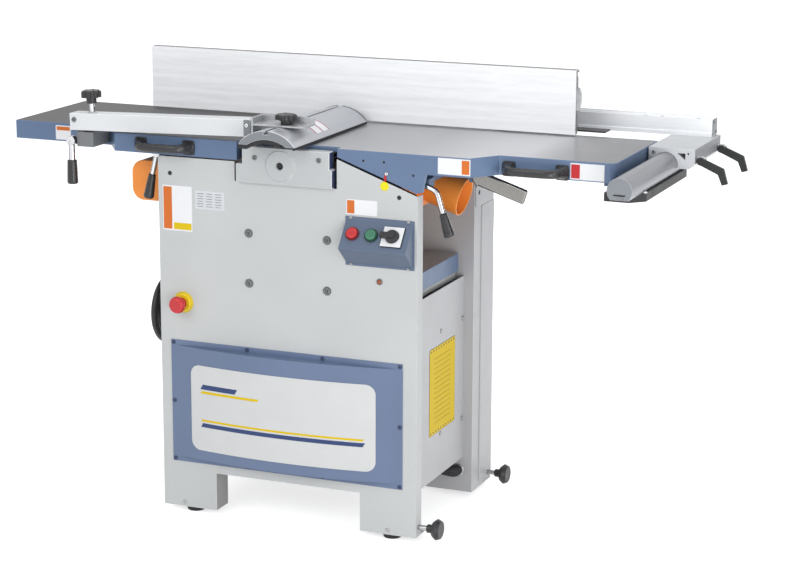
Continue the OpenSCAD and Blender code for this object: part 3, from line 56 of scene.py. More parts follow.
# Camera at the photograph's viewing angle
cam_data = bpy.data.cameras.new("camera")
cam_data.lens = 103.57
cam_data.sensor_width = 36
cam_data.clip_start, cam_data.clip_end = 0.1, 200
cam = bpy.data.objects.new("camera", cam_data)
scene.collection.objects.link(cam)
right = Vector((0.92439, 0.38144, 0.00351)).normalized()
fwd = Vector((-0.37073, 0.90054, -0.22714)).normalized()
up = right.cross(fwd).normalized()
turn = Matrix((right, up, -fwd)).transposed().to_4x4()
turn.translation = Vector((2.09867, -4.87986, 1.78931))
cam.matrix_world = turn
scene.camera = cam


# Materials: procedural finishes and their worn edges
def linear(c):
    """Colour from 0 to 255 per channel, as linear values."""
    def f(v):
        v /= 255
        return v / 12.92 if v <= 0.04045 else ((v + 0.055) / 1.055) ** 2.4
    return tuple(f(v) for v in c)


def shade(c, k):
    """Linear colour made k times as bright, with full alpha."""
    return tuple(min(1, v * k) for v in c) + (1,)


class Mat:
    """Material with a Principled shader and short ways to wire its noise."""

    def __init__(self, name):
        self.m = bpy.data.materials.new(name)
        self.m.use_nodes = True
        self.t = self.m.node_tree
        self.b = self.t.nodes["Principled BSDF"]
        self.co = self.t.nodes.new("ShaderNodeTexCoord").outputs["Object"]

    def put(self, **k):
        """Sets inputs of the shader by name."""
        for n, v in k.items():
            self.b.inputs[n.replace("_", " ")].default_value = v
        return self

    def stretch(self, sx, sy, sz):
        """Object coordinates scaled along each axis."""
        n = self.t.nodes.new("ShaderNodeMapping")
        n.inputs["Scale"].default_value = (sx, sy, sz)
        self.t.links.new(self.co, n.inputs["Vector"])
        return n.outputs["Vector"]

    def noise(self, scale, detail=2.0, rough=0.5, co=None):
        """Noise from 0 to 1."""
        n = self.t.nodes.new("ShaderNodeTexNoise")
        n.inputs["Scale"].default_value = scale
        n.inputs["Detail"].default_value = detail
        n.inputs["Roughness"].default_value = rough
        self.t.links.new(co or self.co, n.inputs["Vector"])
        return n.outputs["Fac"]

    def ramp(self, fac, stops):
        """Colour ramp over a value: stops are (position, colour)."""
        n = self.t.nodes.new("ShaderNodeValToRGB")
        e = n.color_ramp.elements
        e[0].position, e[0].color = stops[0]
        e[1].position, e[1].color = stops[1]
        for p, c in stops[2:]:
            x = e.new(p)
            x.color = c
        self.t.links.new(fac, n.inputs["Fac"])
        return n.outputs["Color"]

    def span(self, fac, a, b, lo, hi):
        """Value moved from the range a to b into lo to hi."""
        n = self.t.nodes.new("ShaderNodeMapRange")
        for k, v in (("From Min", a), ("From Max", b), ("To Min", lo), ("To Max", hi)):
            n.inputs[k].default_value = v
        self.t.links.new(fac, n.inputs["Value"])
        return n.outputs["Result"]

    def mix(self, fac, a, b, how="MIX"):
        """Mix of two colours, each a socket or a value."""
        n = self.t.nodes.new("ShaderNodeMix")
        n.data_type = "RGBA"
        n.blend_type = how
        for s, v in ((n.inputs[0], fac), (n.inputs[6], a), (n.inputs[7], b)):
            if isinstance(v, bpy.types.NodeSocket):
                self.t.links.new(v, s)
            else:
                s.default_value = v
        return n.outputs[2]

    def to(self, socket, out):
        """Feeds an input of the shader."""
        self.t.links.new(out, self.b.inputs[socket])
        return self

    def bump(self, fac, strength, dist):
        """Surface relief from a value."""
        n = self.t.nodes.new("ShaderNodeBump")
        n.inputs["Strength"].default_value = strength
        n.inputs["Distance"].default_value = dist
        self.t.links.new(fac, n.inputs["Height"])
        self.t.links.new(n.outputs["Normal"], self.b.inputs["Normal"])
        return self


# Noise scales, in waves per metre: orange peel, grain of metal, cloudy tone, ground lines and broad bands
PEEL, GRAIN, CLOUD, LINES, BANDS, BAND_RUN = 850, 1400, 5, 520, 90, 1.2
# Facing values between which the painted reflection tone for a low view comes in
LOW_FROM, LOW_TO = 0.35, 0.75
# Edge finishes by the name of their material
WEAR = {}


def wear(mat, c, bare, amount, rough):
    """Edge finish kept beside a material: its own colour, rubbed through to a paler one in patches."""
    m = Mat(mat.name + "_edge").put(Specular_IOR_Level=0.45)
    rub = m.span(m.noise(70, 4, 0.7), 0.42, 0.68, amount * 0.25, amount)
    m.to("Base Color", m.mix(rub, shade(c, 1.06), bare))
    m.to("Roughness", m.span(m.noise(160, 2), 0.3, 0.7, rough - 0.08, rough + 0.05))
    WEAR[mat.name] = m.bump(m.noise(PEEL, 2), 0.1, 0.0003).m
    return mat


def paint(name, rgb, rough=0.36, peel=0.10, tone=0.035, worn=0.35, coat=0.0):
    """Sprayed machine paint: faint cloudy tone, fine orange peel, rubbed edges."""
    c = linear(rgb)
    m = Mat(name).put(Coat_Weight=coat, Coat_Roughness=0.2, Specular_IOR_Level=0.42)
    cloud = m.ramp(m.noise(CLOUD, 3), [(0.3, shade(c, 1 - tone)), (0.7, shade(c, 1 + tone))])
    m.to("Base Color", m.mix(m.span(m.noise(1500, 1), 0.35, 0.65, 0, 0.10), cloud, shade(c, 0.82)))
    m.to("Roughness", m.span(m.noise(30, 3), 0.3, 0.7, rough - 0.05, rough + 0.06))
    m.bump(m.noise(PEEL, 2), peel, 0.0004)
    return wear(m.m, c, shade(c, 1.7), worn, rough)


def streaked(name, rgb, along, metallic, rough, depth=0.10, contrast=0.10, fine=1.0, spec=0.5, run=3.5,
             tone=None, low=False):
    """Ground, brushed or drawn metal; tone is painted light and shade along X in metres, low keeps that to a
    low view.
    """
    c = linear(rgb)
    m = Mat(name).put(Metallic=metallic, Specular_IOR_Level=spec)
    s = [LINES * fine] * 3
    s["xyz".index(along)] = run
    lines = m.noise(1.0, 5, 0.65, m.stretch(*s))
    s2 = [BANDS] * 3
    s2["xyz".index(along)] = BAND_RUN
    bands = m.noise(1.0, 3, 0.5, m.stretch(*s2))
    a = m.ramp(lines, [(0.25, shade(c, 1 - contrast)), (0.75, shade(c, 1 + contrast))])
    b = m.ramp(bands, [(0.3, (0.93, 0.93, 0.93, 1)), (0.7, (1, 1, 1, 1))])
    both = m.mix(1.0, a, b, "MULTIPLY")
    # Painted light: a brightness ramp along X, and with low only at a low view, stands in for reflections and
    # shade.
    if tone:
        sep = m.t.nodes.new("ShaderNodeSeparateXYZ")
        m.t.links.new(m.co, sep.inputs[0])
        x0, x1 = tone[0][0], tone[-1][0]
        along_x = m.span(sep.outputs["X"], x0 - MID_X / 1000, x1 - MID_X / 1000, 0.0, 1.0)
        stops = [((x - x0) / (x1 - x0), (v, v, v, 1)) for x, v in tone]
        painted_light = m.ramp(along_x, stops)
        if low:
            w = m.t.nodes.new("ShaderNodeLayerWeight")
            w.inputs["Blend"].default_value = 0.5
            painted_light = m.mix(m.span(w.outputs["Facing"], LOW_FROM, LOW_TO, 0.0, 1.0), (1, 1, 1, 1), painted_light)
        both = m.mix(1.0, both, painted_light, "MULTIPLY")
    m.to("Base Color", both)
    m.to("Roughness", m.span(lines, 0.2, 0.8, rough - 0.08, rough + 0.10))
    m.bump(lines, depth, 0.0002)
    return wear(m.m, c, shade(c, 1.5), 0.6, 0.35)


def metal(name, rgb, rough, metallic=1.0, mott=0.05):
    """Plated or turned metal with slight clouding."""
    c = linear(rgb)
    m = Mat(name).put(Metallic=metallic)
    m.to("Base Color", m.ramp(m.noise(60, 4), [(0.3, shade(c, 1 - mott)), (0.7, shade(c, 1 + mott))]))
    m.to("Roughness", m.span(m.noise(220, 3), 0.3, 0.7, rough * 0.7, rough * 1.35))
    m.bump(m.noise(GRAIN, 2), 0.04, 0.0002)
    WEAR[name] = m.m
    return m.m


def plastic(name, rgb, rough=0.4, grain=0.14, scale=1300, tone=0.06, spec=0.45, spread=0.07):
    """Moulded plastic with a fine eroded grain."""
    c = linear(rgb)
    m = Mat(name).put(Specular_IOR_Level=spec)
    m.to("Base Color", m.ramp(m.noise(18, 3), [(0.3, shade(c, 1 - tone)), (0.7, shade(c, 1 + tone))]))
    m.to("Roughness", m.span(m.noise(90, 3), 0.3, 0.7, rough - spread, rough + spread))
    m.bump(m.noise(scale, 2), grain, 0.0003)
    return wear(m.m, c, shade(c, 1.9), 0.35, rough)


def film(name, rgb, rough=0.42):
    """Printed film or sheet: even, with a faint mottling and fine grain."""
    return plastic(name, rgb, rough, grain=0.03, scale=900, tone=0.015, spec=0.25, spread=0.02)


def mirror(name, bright, dark, rough):
    """Plated rod with painted reflection: bright where it faces the eye, with a dark band of painted
    reflection towards its sides.
    """
    m = Mat(name).put(Metallic=1.0)
    w = m.t.nodes.new("ShaderNodeLayerWeight")
    w.inputs["Blend"].default_value = 0.5
    a, b = linear(bright), linear(dark)
    band = m.ramp(w.outputs["Facing"], [(0.0, shade(a, 0.75)), (0.22, shade(a, 1.0)), (0.42, shade(b, 1.0)),
                                        (0.62, shade(b, 1.6)), (0.8, shade(a, 0.9))])
    m.to("Base Color", m.mix(m.span(m.noise(140, 3), 0.3, 0.7, 0.0, 0.25), band, shade(a, 0.6)))
    m.to("Roughness", m.span(m.noise(220, 3), 0.3, 0.7, rough * 0.7, rough * 1.35))
    m.bump(m.noise(GRAIN, 2), 0.04, 0.0002)
    WEAR[name] = m.m
    return m.m


# Settings that several paints share
ENAMEL = dict(peel=0.12, tone=0.04, worn=0.25, coat=0.12)
CASTING = dict(peel=0.30, tone=0.06, worn=0.25, coat=0.1)
CAST_ALU = dict(peel=0.2, tone=0.03, worn=0.2)

# Finishes of this machine, their colours chosen so that the render looks like the photograph
GREY = paint("grey_enamel", (189, 191, 191), 0.40)
GREY_SIDE = paint("grey_enamel_side", (184, 184, 186), 0.42)
BEARING = paint("grey_casting", (182, 185, 186), 0.42, peel=0.16)
ARM = paint("light_enamel", (214, 216, 218), 0.34)
BLUE_COVER = paint("blue_enamel_cover", (97, 113, 142), **ENAMEL)
BLUE_BOX = paint("blue_enamel_box", (86, 100, 122), **ENAMEL)
BLUE_CAST = paint("blue_casting", (93, 113, 143), **CASTING)
BLUE_OUT = paint("blue_casting_outfeed", (90, 111, 142), **CASTING)
# Blue paint of the cover screws, also used as painted shade on the bearing plate's right side.
BLUE_SCREW_AND_SHADE = paint("blue_screw_and_painted_shade", (58, 68, 98), 0.4, peel=0.08, tone=0.05, worn=0.3)
BLACK_ENAMEL = paint("black_enamel", (27, 28, 29), 0.45, peel=0.16, tone=0.06, worn=0.2)
GREY_BRACKET = paint("bracket_grey", (116, 118, 121), 0.4, peel=0.14)
# Painted reflection: the infeed top is brighter mid-table and darker at its far end, only at a low view.
IRON = streaked("ground_iron", (178, 178, 181), "x", 0.5, 0.34, contrast=0.08, low=True,
                tone=[(0.13, 0.90), (0.30, 0.97), (0.45, 1.30), (0.54, 1.36), (0.62, 0.80), (0.70, 0.52),
                      (0.76, 0.44)])
# Painted reflection: the outfeed top is darkened to 0.3 of its colour at a low view.
IRON_OUT = streaked("ground_iron_outfeed", (168, 168, 170), "x", 0.35, 0.50, contrast=0.09, spec=0.2,
                    tone=[(-0.70, 0.30), (-0.03, 0.30)], low=True)
IRON_BED = streaked("ground_iron_bed", (174, 176, 174), "x", 0.4, 0.36, contrast=0.09)
FENCE = streaked("anodised_fence", (246, 247, 249), "x", 0.0, 0.42, contrast=0.06, fine=0.26, spec=0.4,
                 run=13)
# Painted light: the beam is brighter towards its right end, from every view.
ALU = streaked("anodised_beam", (226, 227, 229), "x", 0.15, 0.36, depth=0.08, contrast=0.05,
               tone=[(0.34, 0.75), (0.60, 1.02), (0.70, 1.18), (0.86, 1.18)])
ALU_TUBE = streaked("drawn_tube", (146, 147, 153), "y", 0.6, 0.34, depth=0.02, contrast=0.03, fine=0.35,
                    run=0.6)
ALU_CAST = paint("cast_aluminium", (193, 195, 198), 0.40, **CAST_ALU)
# Painted shade: darker copy of the cast aluminium for the right-facing faces of the carriage and the beam's
# end cap.
CAST_ALU_SHADE = paint("cast_aluminium_painted_shade", (132, 134, 137), 0.44, **CAST_ALU)
GUARD = streaked("anodised_guard", (184, 186, 191), "y", 0.45, 0.34, depth=0.08, contrast=0.05)
CAP = paint("guard_cap", (126, 130, 135), 0.42, peel=0.12)
HOLDER = metal("holder_steel", (176, 178, 181), 0.34, metallic=0.6)
STEEL = metal("turned_steel", (170, 171, 173), 0.30)
STEEL_DULL = metal("dull_steel", (112, 114, 116), 0.42, metallic=0.8)
# Painted reflection: chrome and the polished lever are banded bright and dark by viewing angle.
CHROME = mirror("chrome", (226, 227, 229), (74, 76, 79), 0.12)
LEVER = mirror("polished_lever", (150, 148, 144), (70, 68, 66), 0.22)
BRIGHT = metal("bright_edge", (240, 241, 243), 0.25, metallic=0.3)
BLACK = plastic("black_plastic", (38, 38, 40), 0.40)
BLACK_GRIP = plastic("black_grip", (44, 44, 46), 0.28, grain=0.08)
# Near-black: painted shade in holes, bores and slots; also the dark seams on the beam and the bezels' dark
# faces.
HOLE = plastic("dark_recess", (20, 20, 22), 0.6, grain=0.05)
RUBBER = plastic("rubber", (34, 34, 36), 0.72, grain=0.25, scale=700)
ORANGE = plastic("orange_plastic", (248, 150, 64), 0.40, grain=0.10, scale=900, tone=0.05)
RED = plastic("red_plastic", (186, 44, 48), 0.28, grain=0.04)
RED_DARK = plastic("red_plastic_dark", (128, 22, 30), 0.32, grain=0.05)
GREEN = plastic("green_plastic", (62, 116, 92), 0.30, grain=0.04)
GREEN_DARK = plastic("green_plastic_dark", (22, 72, 56), 0.34, grain=0.05)
YELLOW = plastic("yellow_plastic", (214, 184, 26), 0.38, grain=0.05)
WHITE = film("white_film", (226, 227, 229), 0.36)
WINDOW = film("window_film", (202, 203, 203), 0.38)
FILM_ORANGE = film("label_orange", (204, 108, 46))
FILM_YELLOW = film("label_yellow", (212, 182, 14), 0.5)
FILM_MARK = film("mark_yellow", (224, 214, 36), 0.5)
FILM_OCHRE = film("label_ochre", (182, 152, 16), 0.5)
FILM_RED = film("label_red", (186, 46, 52))
FILM_BLUE = film("label_blue", (52, 68, 110))
FILM_SILVER = film("label_silver", (204, 206, 211))
FILM_PALE = film("label_pale", (182, 150, 158))
FILM_BLACK = film("label_black", (40, 40, 42))
AMBER = plastic("amber_lens", (140, 76, 40), 0.25, grain=0.04)
# Darker grey: print on the data plate, painted shade on the feet's inner sides, and the front sheet's back
# faces.
PRINT_AND_SHADE_GREY = paint("print_and_painted_shade_grey", (150, 150, 148), 0.5)


def dress(node, mat, bevel=0.8, seg=2, pick=None, extra=()):
    """Gives a CAD node its finish; pick(centre in mm, normal) may return the number of an extra material."""
    o = NODE[node]
    me = o.data
    me.materials.clear()
    for m in (mat, *extra, WEAR[mat.name]):
        me.materials.append(m)
    for p in me.polygons:
        p.use_smooth = True
        k = 0
        if pick:
            c = p.center
            k = pick(c.x * 1000 + MID_X, c.y * 1000 + MID_Y, c.z * 1000, p.normal)
        p.material_index = k
    w = o.modifiers.new("weld", "WELD")
    w.merge_threshold = 0.00002
    d = o.modifiers.new("flat", "DECIMATE")
    d.decimate_type = "DISSOLVE"
    d.angle_limit = math.radians(0.4)
    d.delimit = {"MATERIAL"}
    if bevel:
        b = o.modifiers.new("bevel", "BEVEL")
        b.width = bevel / 1000
        b.segments = seg
        b.limit_method = "ANGLE"
        b.angle_limit = math.radians(38)
        b.use_clamp_overlap = False
        b.miter_outer = "MITER_ARC"
        b.material = len(me.materials) - 1
    n = o.modifiers.new("normals", "WEIGHTED_NORMAL")
    n.keep_sharp = True
    n.weight = 80


# Finishes of the CAD nodes
# A normal past FLAT lies along an axis and one past LEAN leans that way. The rest are limits in mm.
FLAT, LEAN = 0.9, 0.5
STUD_L, SHEET_T, FLANGE_X, FOOT_TOP = 21.5, 2, 320, 110
BEARING_END, KNOB_LOW = 80, 970
STOP_END_X, START_END_X = 200, 250


def top_iron(top):
    """Pick that gives faces at this height the ground iron."""
    return lambda x, y, z, n: 1 if n.z > FLAT and z > top - NEAR else 0


def stud(x, y, z, n):
    """Pick that gives the knob's stud its steel."""
    return 1 if x < COLUMN_X + STUD_L else 0


def bezel(x, y, z, n):
    """Pick for the two button rings and the selector's plate."""
    if x < STOP_END_X:
        return 2
    if x < START_END_X:
        return 3
    return 1 if n.z > LEAN else 0


# Painted shade: the feet's inner sides take the darker grey; the sheet's back faces take it too.
dress("front_sheet", GREY, 0.8, extra=(PRINT_AND_SHADE_GREY,),
      pick=lambda x, y, z, n: 1 if n.y > FLAT and y > SHEET_T and abs(x) < FLANGE_X
      or abs(n.x) > FLAT and abs(x) < PANEL_X and z < FOOT_TOP else 0)
dress("rear_box", GREY_SIDE, 1.2)
dress("side_panel_left", GREY_SIDE, 0.5)
dress("side_panel_right", GREY_SIDE, 0.5)
dress("floor_plate", GREY_SIDE, 0.5)
dress("rubber_feet", RUBBER, 1.0)
dress("side_knob_front", BLACK, 1.5, 3, stud, (STEEL,))
dress("side_knob_rear", BLACK, 1.5, 3, stud, (STEEL,))
dress("front_cover", BLUE_COVER, 0.8)
dress("cover_window", WINDOW, 0.4)
# Painted shade: the bearing plate's right side face is dark blue.
dress("bearing_front", BEARING, 2.0, 3,
      lambda x, y, z, n: 1 if n.x > FLAT and x > BEARING_END else 0, (BLUE_SCREW_AND_SHADE,))
dress("bearing_rear", BEARING, 1.0)
dress("cutterblock", STEEL, 0.3)
dress("feed_roller_in", STEEL, 0.5)
dress("feed_roller_out", RUBBER, 0.5)
dress("outfeed_table", BLUE_OUT, 1.5, 3, top_iron(TABLE_Z), (IRON_OUT,))
dress("infeed_table", BLUE_CAST, 1.5, 3, top_iron(TABLE_Z), (IRON,))
dress("infeed_saddle", BLUE_CAST, 1.0)
dress("hinge_brackets", GREY_SIDE, 1.5, 3)
dress("hinge_pins", STEEL, 0.8)
dress("lock_lever_left", CHROME, 0.8)
# Painted reflection: the flat lever bar is banded as if it were round.
dress("depth_lever", LEVER, 5.0, 5)
dress("guide_tube", ALU_TUBE, 0.8, extra=(CAP,), pick=lambda x, y, z, n: 1 if y < TUBE_Y + NEAR else 0)
dress("tube_bracket", BLACK_ENAMEL, 1.5, 3)
# Painted shade: the carriage's right-facing faces are darker.
dress("fence_carriage", ALU_CAST, 0.8, extra=(CAST_ALU_SHADE,), pick=lambda x, y, z, n: 1 if n.x > FLAT else 0)
dress("fence_beam", ALU, 0.5)
dress("fence_arms", BLACK_ENAMEL, 1.0)
dress("fence", FENCE, 0.6, extra=(GREY_BRACKET, CAP),
      pick=lambda x, y, z, n: 1 if z > FENCE_Z - NEAR or n.x > FLAT else 2 if n.y > LEAN else 0)
dress("fence_cover", BLACK, 0.8)
dress("clamp_lever_front", BLACK_ENAMEL, 1.2, 3)
dress("clamp_lever_rear", BLACK_ENAMEL, 1.2, 3)
dress("guard_bracket", GREY_BRACKET, 1.2, 3)
dress("guard_arm", ARM, 1.8, 3)
dress("height_knob", BLACK, 1.2, 3, lambda x, y, z, n: 1 if z < KNOB_LOW else 0, (CHROME,))
dress("arm_lever", CHROME, 1.0, 3)
dress("guard_holder", HOLDER, 0.8)
dress("guard", GUARD, 0.6, extra=(CAP,), pick=lambda x, y, z, n: 1 if n.y < -FLAT else 0)
dress("guard_rubber", RUBBER, 0.8)
dress("guard_knob", BLACK, 1.2, 3)
dress("thicknesser_table", BLUE_CAST, 1.5, 3, top_iron(BED_Z), (IRON_BED,))
dress("table_column", STEEL, 0.8)
dress("column_guide", BLUE_CAST, 1.0)
dress("drive_bracket", BLUE_CAST, 0.8)
dress("lead_screw", STEEL_DULL, 0.5)
dress("handwheel", BLACK, 1.0, 3)
dress("dust_hood", ORANGE, 1.2, 3)
dress("switch_box", BLUE_BOX, 0.8)
dress("switch_bezels", HOLE, 0.6, 2, bezel, (WHITE, RED_DARK, GREEN_DARK))
dress("stop_button", RED, 1.2, 3)
dress("start_button", GREEN, 1.2, 3)
dress("selector_knob", BLACK, 1.0, 3)
dress("emergency_base", YELLOW, 1.5, 3)
dress("emergency_button", RED, 2.5, 4)


# Pieces built in mesh code, each facing one of these ways: across, up and out
FRONT = ((1, 0, 0), (0, 0, 1), (0, -1, 0))
RIGHT = ((0, 1, 0), (0, 0, 1), (1, 0, 0))
LEFT = ((0, -1, 0), (0, 0, 1), (-1, 0, 0))
BACK = ((-1, 0, 0), (0, 0, 1), (0, 1, 0))
UP = ((1, 0, 0), (0, 1, 0), (0, 0, 1))


def at(o, f, u, v, w):
    """Point u across, v up and w out from o on a face turned as f."""
    return tuple(o[i] + f[0][i] * u + f[1][i] * v + f[2][i] * w for i in range(3))


class Part:
    """Collects points, faces and material numbers of one piece."""

    def __init__(self):
        self.v, self.f, self.k = [], [], []

    def rings(self, rings, k=0, start=True, end=True, ks=None):
        """Skin over rings of points; start and end close it, ks gives the material of each ring."""
        base, n = len(self.v), len(rings[0])
        for r in rings:
            self.v += r
        for i in range(len(rings) - 1):
            a, b = base + i * n, base + (i + 1) * n
            for j in range(n):
                self.f.append((a + j, a + (j + 1) % n, b + (j + 1) % n, b + j))
                self.k.append(ks[i] if ks else k)
        if start:
            self.f.append(tuple(base + j for j in reversed(range(n))))
            self.k.append(ks[0] if ks else k)
        if end:
            e = base + (len(rings) - 1) * n
            self.f.append(tuple(e + j for j in range(n)))
            self.k.append(ks[-1] if ks else k)

    def lathe(self, o, f, prof, n=32, k=0, ks=None, shape=None, start=True, end=True):
        """Turned form: prof is a list of (radius, height); shape(i, angle) scales the radius of ring i."""
        rr = []
        for i, (r, h) in enumerate(prof):
            ring = []
            for j in range(n):
                a = 2 * math.pi * j / n
                q = r * (shape(i, a) if shape else 1)
                ring.append(at(o, f, q * math.cos(a), q * math.sin(a), h))
            rr.append(ring)
        self.rings(rr, k, ks=ks, start=start, end=end)

    def plate(self, o, f, w, h, t, rc=2.0, k=0, edge=0.25, w0=0.0):
        """Rounded plate, its middle at o, standing out by t, with a broken edge."""
        def ring(g, z):
            pts = []
            r = max(rc - g, 0.05)
            for cx, cy, a0 in ((1, 1, 0), (-1, 1, 90), (-1, -1, 180), (1, -1, 270)):
                for i in range(6):
                    a = math.radians(a0 + i * 18)
                    u = cx * (w / 2 - g - r) + r * math.cos(a)
                    v = cy * (h / 2 - g - r) + r * math.sin(a)
                    pts.append(at(o, f, u, v, z))
            return pts
        self.rings([ring(0, w0), ring(0, w0 + t - edge), ring(edge, w0 + t)], k)

    def screw(self, o, f, r, h, k=0, recess="cross", n=32):
        """Pan-head screw with a cross or hexagon recess."""
        head = [(r, -0.2), (r, h * 0.45), (r * 0.95, h * 0.75), (r * 0.82, h * 0.95), (r * 0.7, h)]
        rc = r * (0.52 if recess == "hex" else 0.6)
        socket = [(rc, h), (rc * 0.92, h * 0.35), (0.02, h * 0.3)]

        def star(i, a):
            if i < len(head):
                return 1
            if recess == "hex":
                return math.cos(math.pi / 6) / math.cos((a % (math.pi / 3)) - math.pi / 6)
            q = abs(math.cos(2 * a))
            return 0.34 + 0.66 * (q ** 6)
        self.lathe(o, f, head + socket, n, k, shape=star)

    def hole(self, o, f, r):
        """Drilled hole drawn as a dark dish of painted shade with a countersunk rim: materials 0 and 1."""
        prof = [(r * 1.22, -0.1), (r * 1.20, 0.16), (r * 1.02, 0.20), (r, 0.1), (0.02, 0.06)]
        self.lathe(o, f, prof, 28, ks=[1, 1, 1, 0, 0])

    def band(self, low, high, k):
        """Thin band between two outlines that run out along one edge and back along the other."""
        base, m = len(self.v), len(low)
        self.v += low + high
        for j in range(m):
            self.f.append((base + j, base + (j + 1) % m, base + m + (j + 1) % m, base + m + j))
            self.k.append(k)
        for i in range(m // 2 - 1):
            self.f.append((base + m + i, base + m + i + 1, base + 2 * m - 2 - i, base + 2 * m - 1 - i))
            self.k.append(k)

    def done(self, name, mats, body, slot, bevel=0, smooth=True):
        """Makes the mesh from the points in mm, riding on a CAD body."""
        me = bpy.data.meshes.new(name)
        me.from_pydata([place(*v) for v in self.v], [], self.f)
        for m in mats:
            me.materials.append(m)
        for p, k in zip(me.polygons, self.k):
            p.use_smooth = smooth
            p.material_index = k
        me.update()
        o = bpy.data.objects.new(name, me)
        scene.collection.objects.link(o)
        if bevel:
            b = o.modifiers.new("bevel", "BEVEL")
            b.width = bevel / 1000
            b.segments = 2
            b.limit_method = "ANGLE"
            b.angle_limit = math.radians(35)
        if smooth:
            n = o.modifiers.new("normals", "WEIGHTED_NORMAL")
            n.keep_sharp = True
        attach(o, body)
        return o


def smooth_path(pts, n=6):
    """Points along a Catmull-Rom line through pts, n from each to the next."""
    q = [Vector(p) for p in pts]
    q = [q[0] * 2 - q[1]] + q + [q[-1] * 2 - q[-2]]
    out = []
    for i in range(1, len(q) - 2):
        for j in range(n):
            t = j / n
            a, b, c, d = q[i - 1], q[i], q[i + 1], q[i + 2]
            square, cube = 2 * a - 5 * b + 4 * c - d, 3 * b - a - 3 * c + d
            out.append(0.5 * (2 * b + (c - a) * t + square * t * t + cube * t ** 3))
    return out + [q[-2]]


def sweep(part, pts, size, side, n=24, flat=2.0):
    """Bar along pts; size(t) gives half width and half height, side is a fixed cross direction."""
    rr = []
    side = Vector(side)
    for i, p in enumerate(pts):
        d = (pts[min(i + 1, len(pts) - 1)] - pts[max(i - 1, 0)]).normalized()
        s = (side - d * side.dot(d)).normalized()
        c = d.cross(s)
        a, b = size(i / (len(pts) - 1))
        ring = []
        for j in range(n):
            g = 2 * math.pi * j / n
            cs, sn = math.cos(g), math.sin(g)
            e = 2 / flat
            u = a * math.copysign(abs(cs) ** e, cs)
            v = b * math.copysign(abs(sn) ** e, sn)
            ring.append(tuple(p + c * u + s * v))
        rr.append(ring)
    part.rings(rr)


# Bridge handles: bowed bar that flares into two pads
# Half of its line is given as distances aside and out.
BOW = ((62, 0), (60, 12), (54, 27), (38, 35), (0, 36.5))
BAR_W, BAR_H, FLARE_W, FLARE_H, FLARE_FROM = 8.5, 9.5, 8.0, 7.0, 0.45
PAD_W, PAD_H, PAD_T = 30, 34, 3


def handle(name, x, y, z, body, node):
    """Handle with its middle at x, y, z, in place of a CAD node."""
    p = Part()
    line = [(x - u, y - v, z) for u, v in BOW] + [(x + u, y - v, z) for u, v in BOW[-2::-1]]
    pts = smooth_path(line)

    def size(t):
        e = abs(t - 0.5) * 2
        g = max(0, (e - FLARE_FROM) / (1 - FLARE_FROM))
        return BAR_W + FLARE_W * g ** 2.0, BAR_H + FLARE_H * g ** 1.6
    sweep(p, pts, size, (0, 0, 1), flat=3.0)
    for s in (-1, 1):
        p.plate((x + s * BOW[0][0], y, z), FRONT, PAD_W, PAD_H, PAD_T, 5, 0, 0.8)
    o = p.done(name, [BLACK_GRIP], body, "black_plastic")
    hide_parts(node)


handle("handle_left", -306, SHEET_Y, 884, "outfeed", "outfeed_handle")
handle("handle_right", 578, APRON_Y, 879, "infeed", "infeed_handle")


# Tapered lever grips with a collar and a domed end
# The end is given as shares of the radius and depths below its tip.
NECK, DOME, DIMPLE = 2.5, 6, 0.7
GRIP_END = ((0.985, 4), (0.93, 1.8), (0.80, 0.5), (0.55, 0), (0.30, 0), (0.26, DIMPLE))


def grip(name, a, b, r0, r1, body, node):
    """Grip from a to b, in place of a CAD node."""
    a, b = Vector(a), Vector(b)
    w = (b - a).normalized()
    u = Vector((0, 1, 0)).cross(w).normalized()
    v = w.cross(u)
    f = (tuple(u), tuple(v), tuple(w))
    reach = (b - a).length
    taper = reach - NECK - DOME
    p = Part()
    prof = [(r0 * 0.80, 0.0), (r0 * 0.97, 0.8), (r0, NECK)]
    prof += [(r0 + (r1 - r0) * (t / 8) ** 0.9, NECK + taper * t / 8) for t in range(1, 9)]
    prof += [(r1 * share, reach - down) for share, down in GRIP_END]
    prof += [(0.05, reach - DIMPLE)]
    p.lathe(tuple(a), f, prof, 40)
    o = p.done(name, [BLACK_GRIP], body, "black_plastic")
    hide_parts(node)


LOCK_GRIP, FOLD_GRIP = (8.5, 12.5), (11.5, 13)
FOLD_X, FOLD_Y = -540, -22
grip("grip_left", (-351, LEVER_Y, 811), (-363, LEVER_Y, 753), *LOCK_GRIP, "lock_left", "lock_grip_left")
grip("grip_right", (378, LEVER_Y, 774), (395, LEVER_Y, 723), *LOCK_GRIP, "lock_right", "lock_grip_right")
grip("grip_arm", (FOLD_X, FOLD_Y, 838), (FOLD_X, FOLD_Y, 781), *FOLD_GRIP, "arm_lever", "arm_grip")

# Right lock lever: chromed rod with a smooth bend, on a hub with its shaft
BEND = ((322, 838), (340, 833), (354, 827.5), (362, 822), (366.5, 812), (371, 797), (378.4, 773))
ROD_R, HUB_Y = 6, 14.6
p = Part()
sweep(p, smooth_path([(x, LEVER_Y, z) for x, z in BEND]), lambda t: (ROD_R, ROD_R), (0, 1, 0))
hub = [(8.2, 0), (10, 1.2), (10, 11.8), (9, 13), (7, 13), (7, 62), (0.1, 62)]
p.lathe((BEND[0][0], HUB_Y, BEND[0][1]), BACK, hub, 36)
o = p.done("lever_right", [CHROME], "lock_right", "chrome_rod")
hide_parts("lock_lever_right")

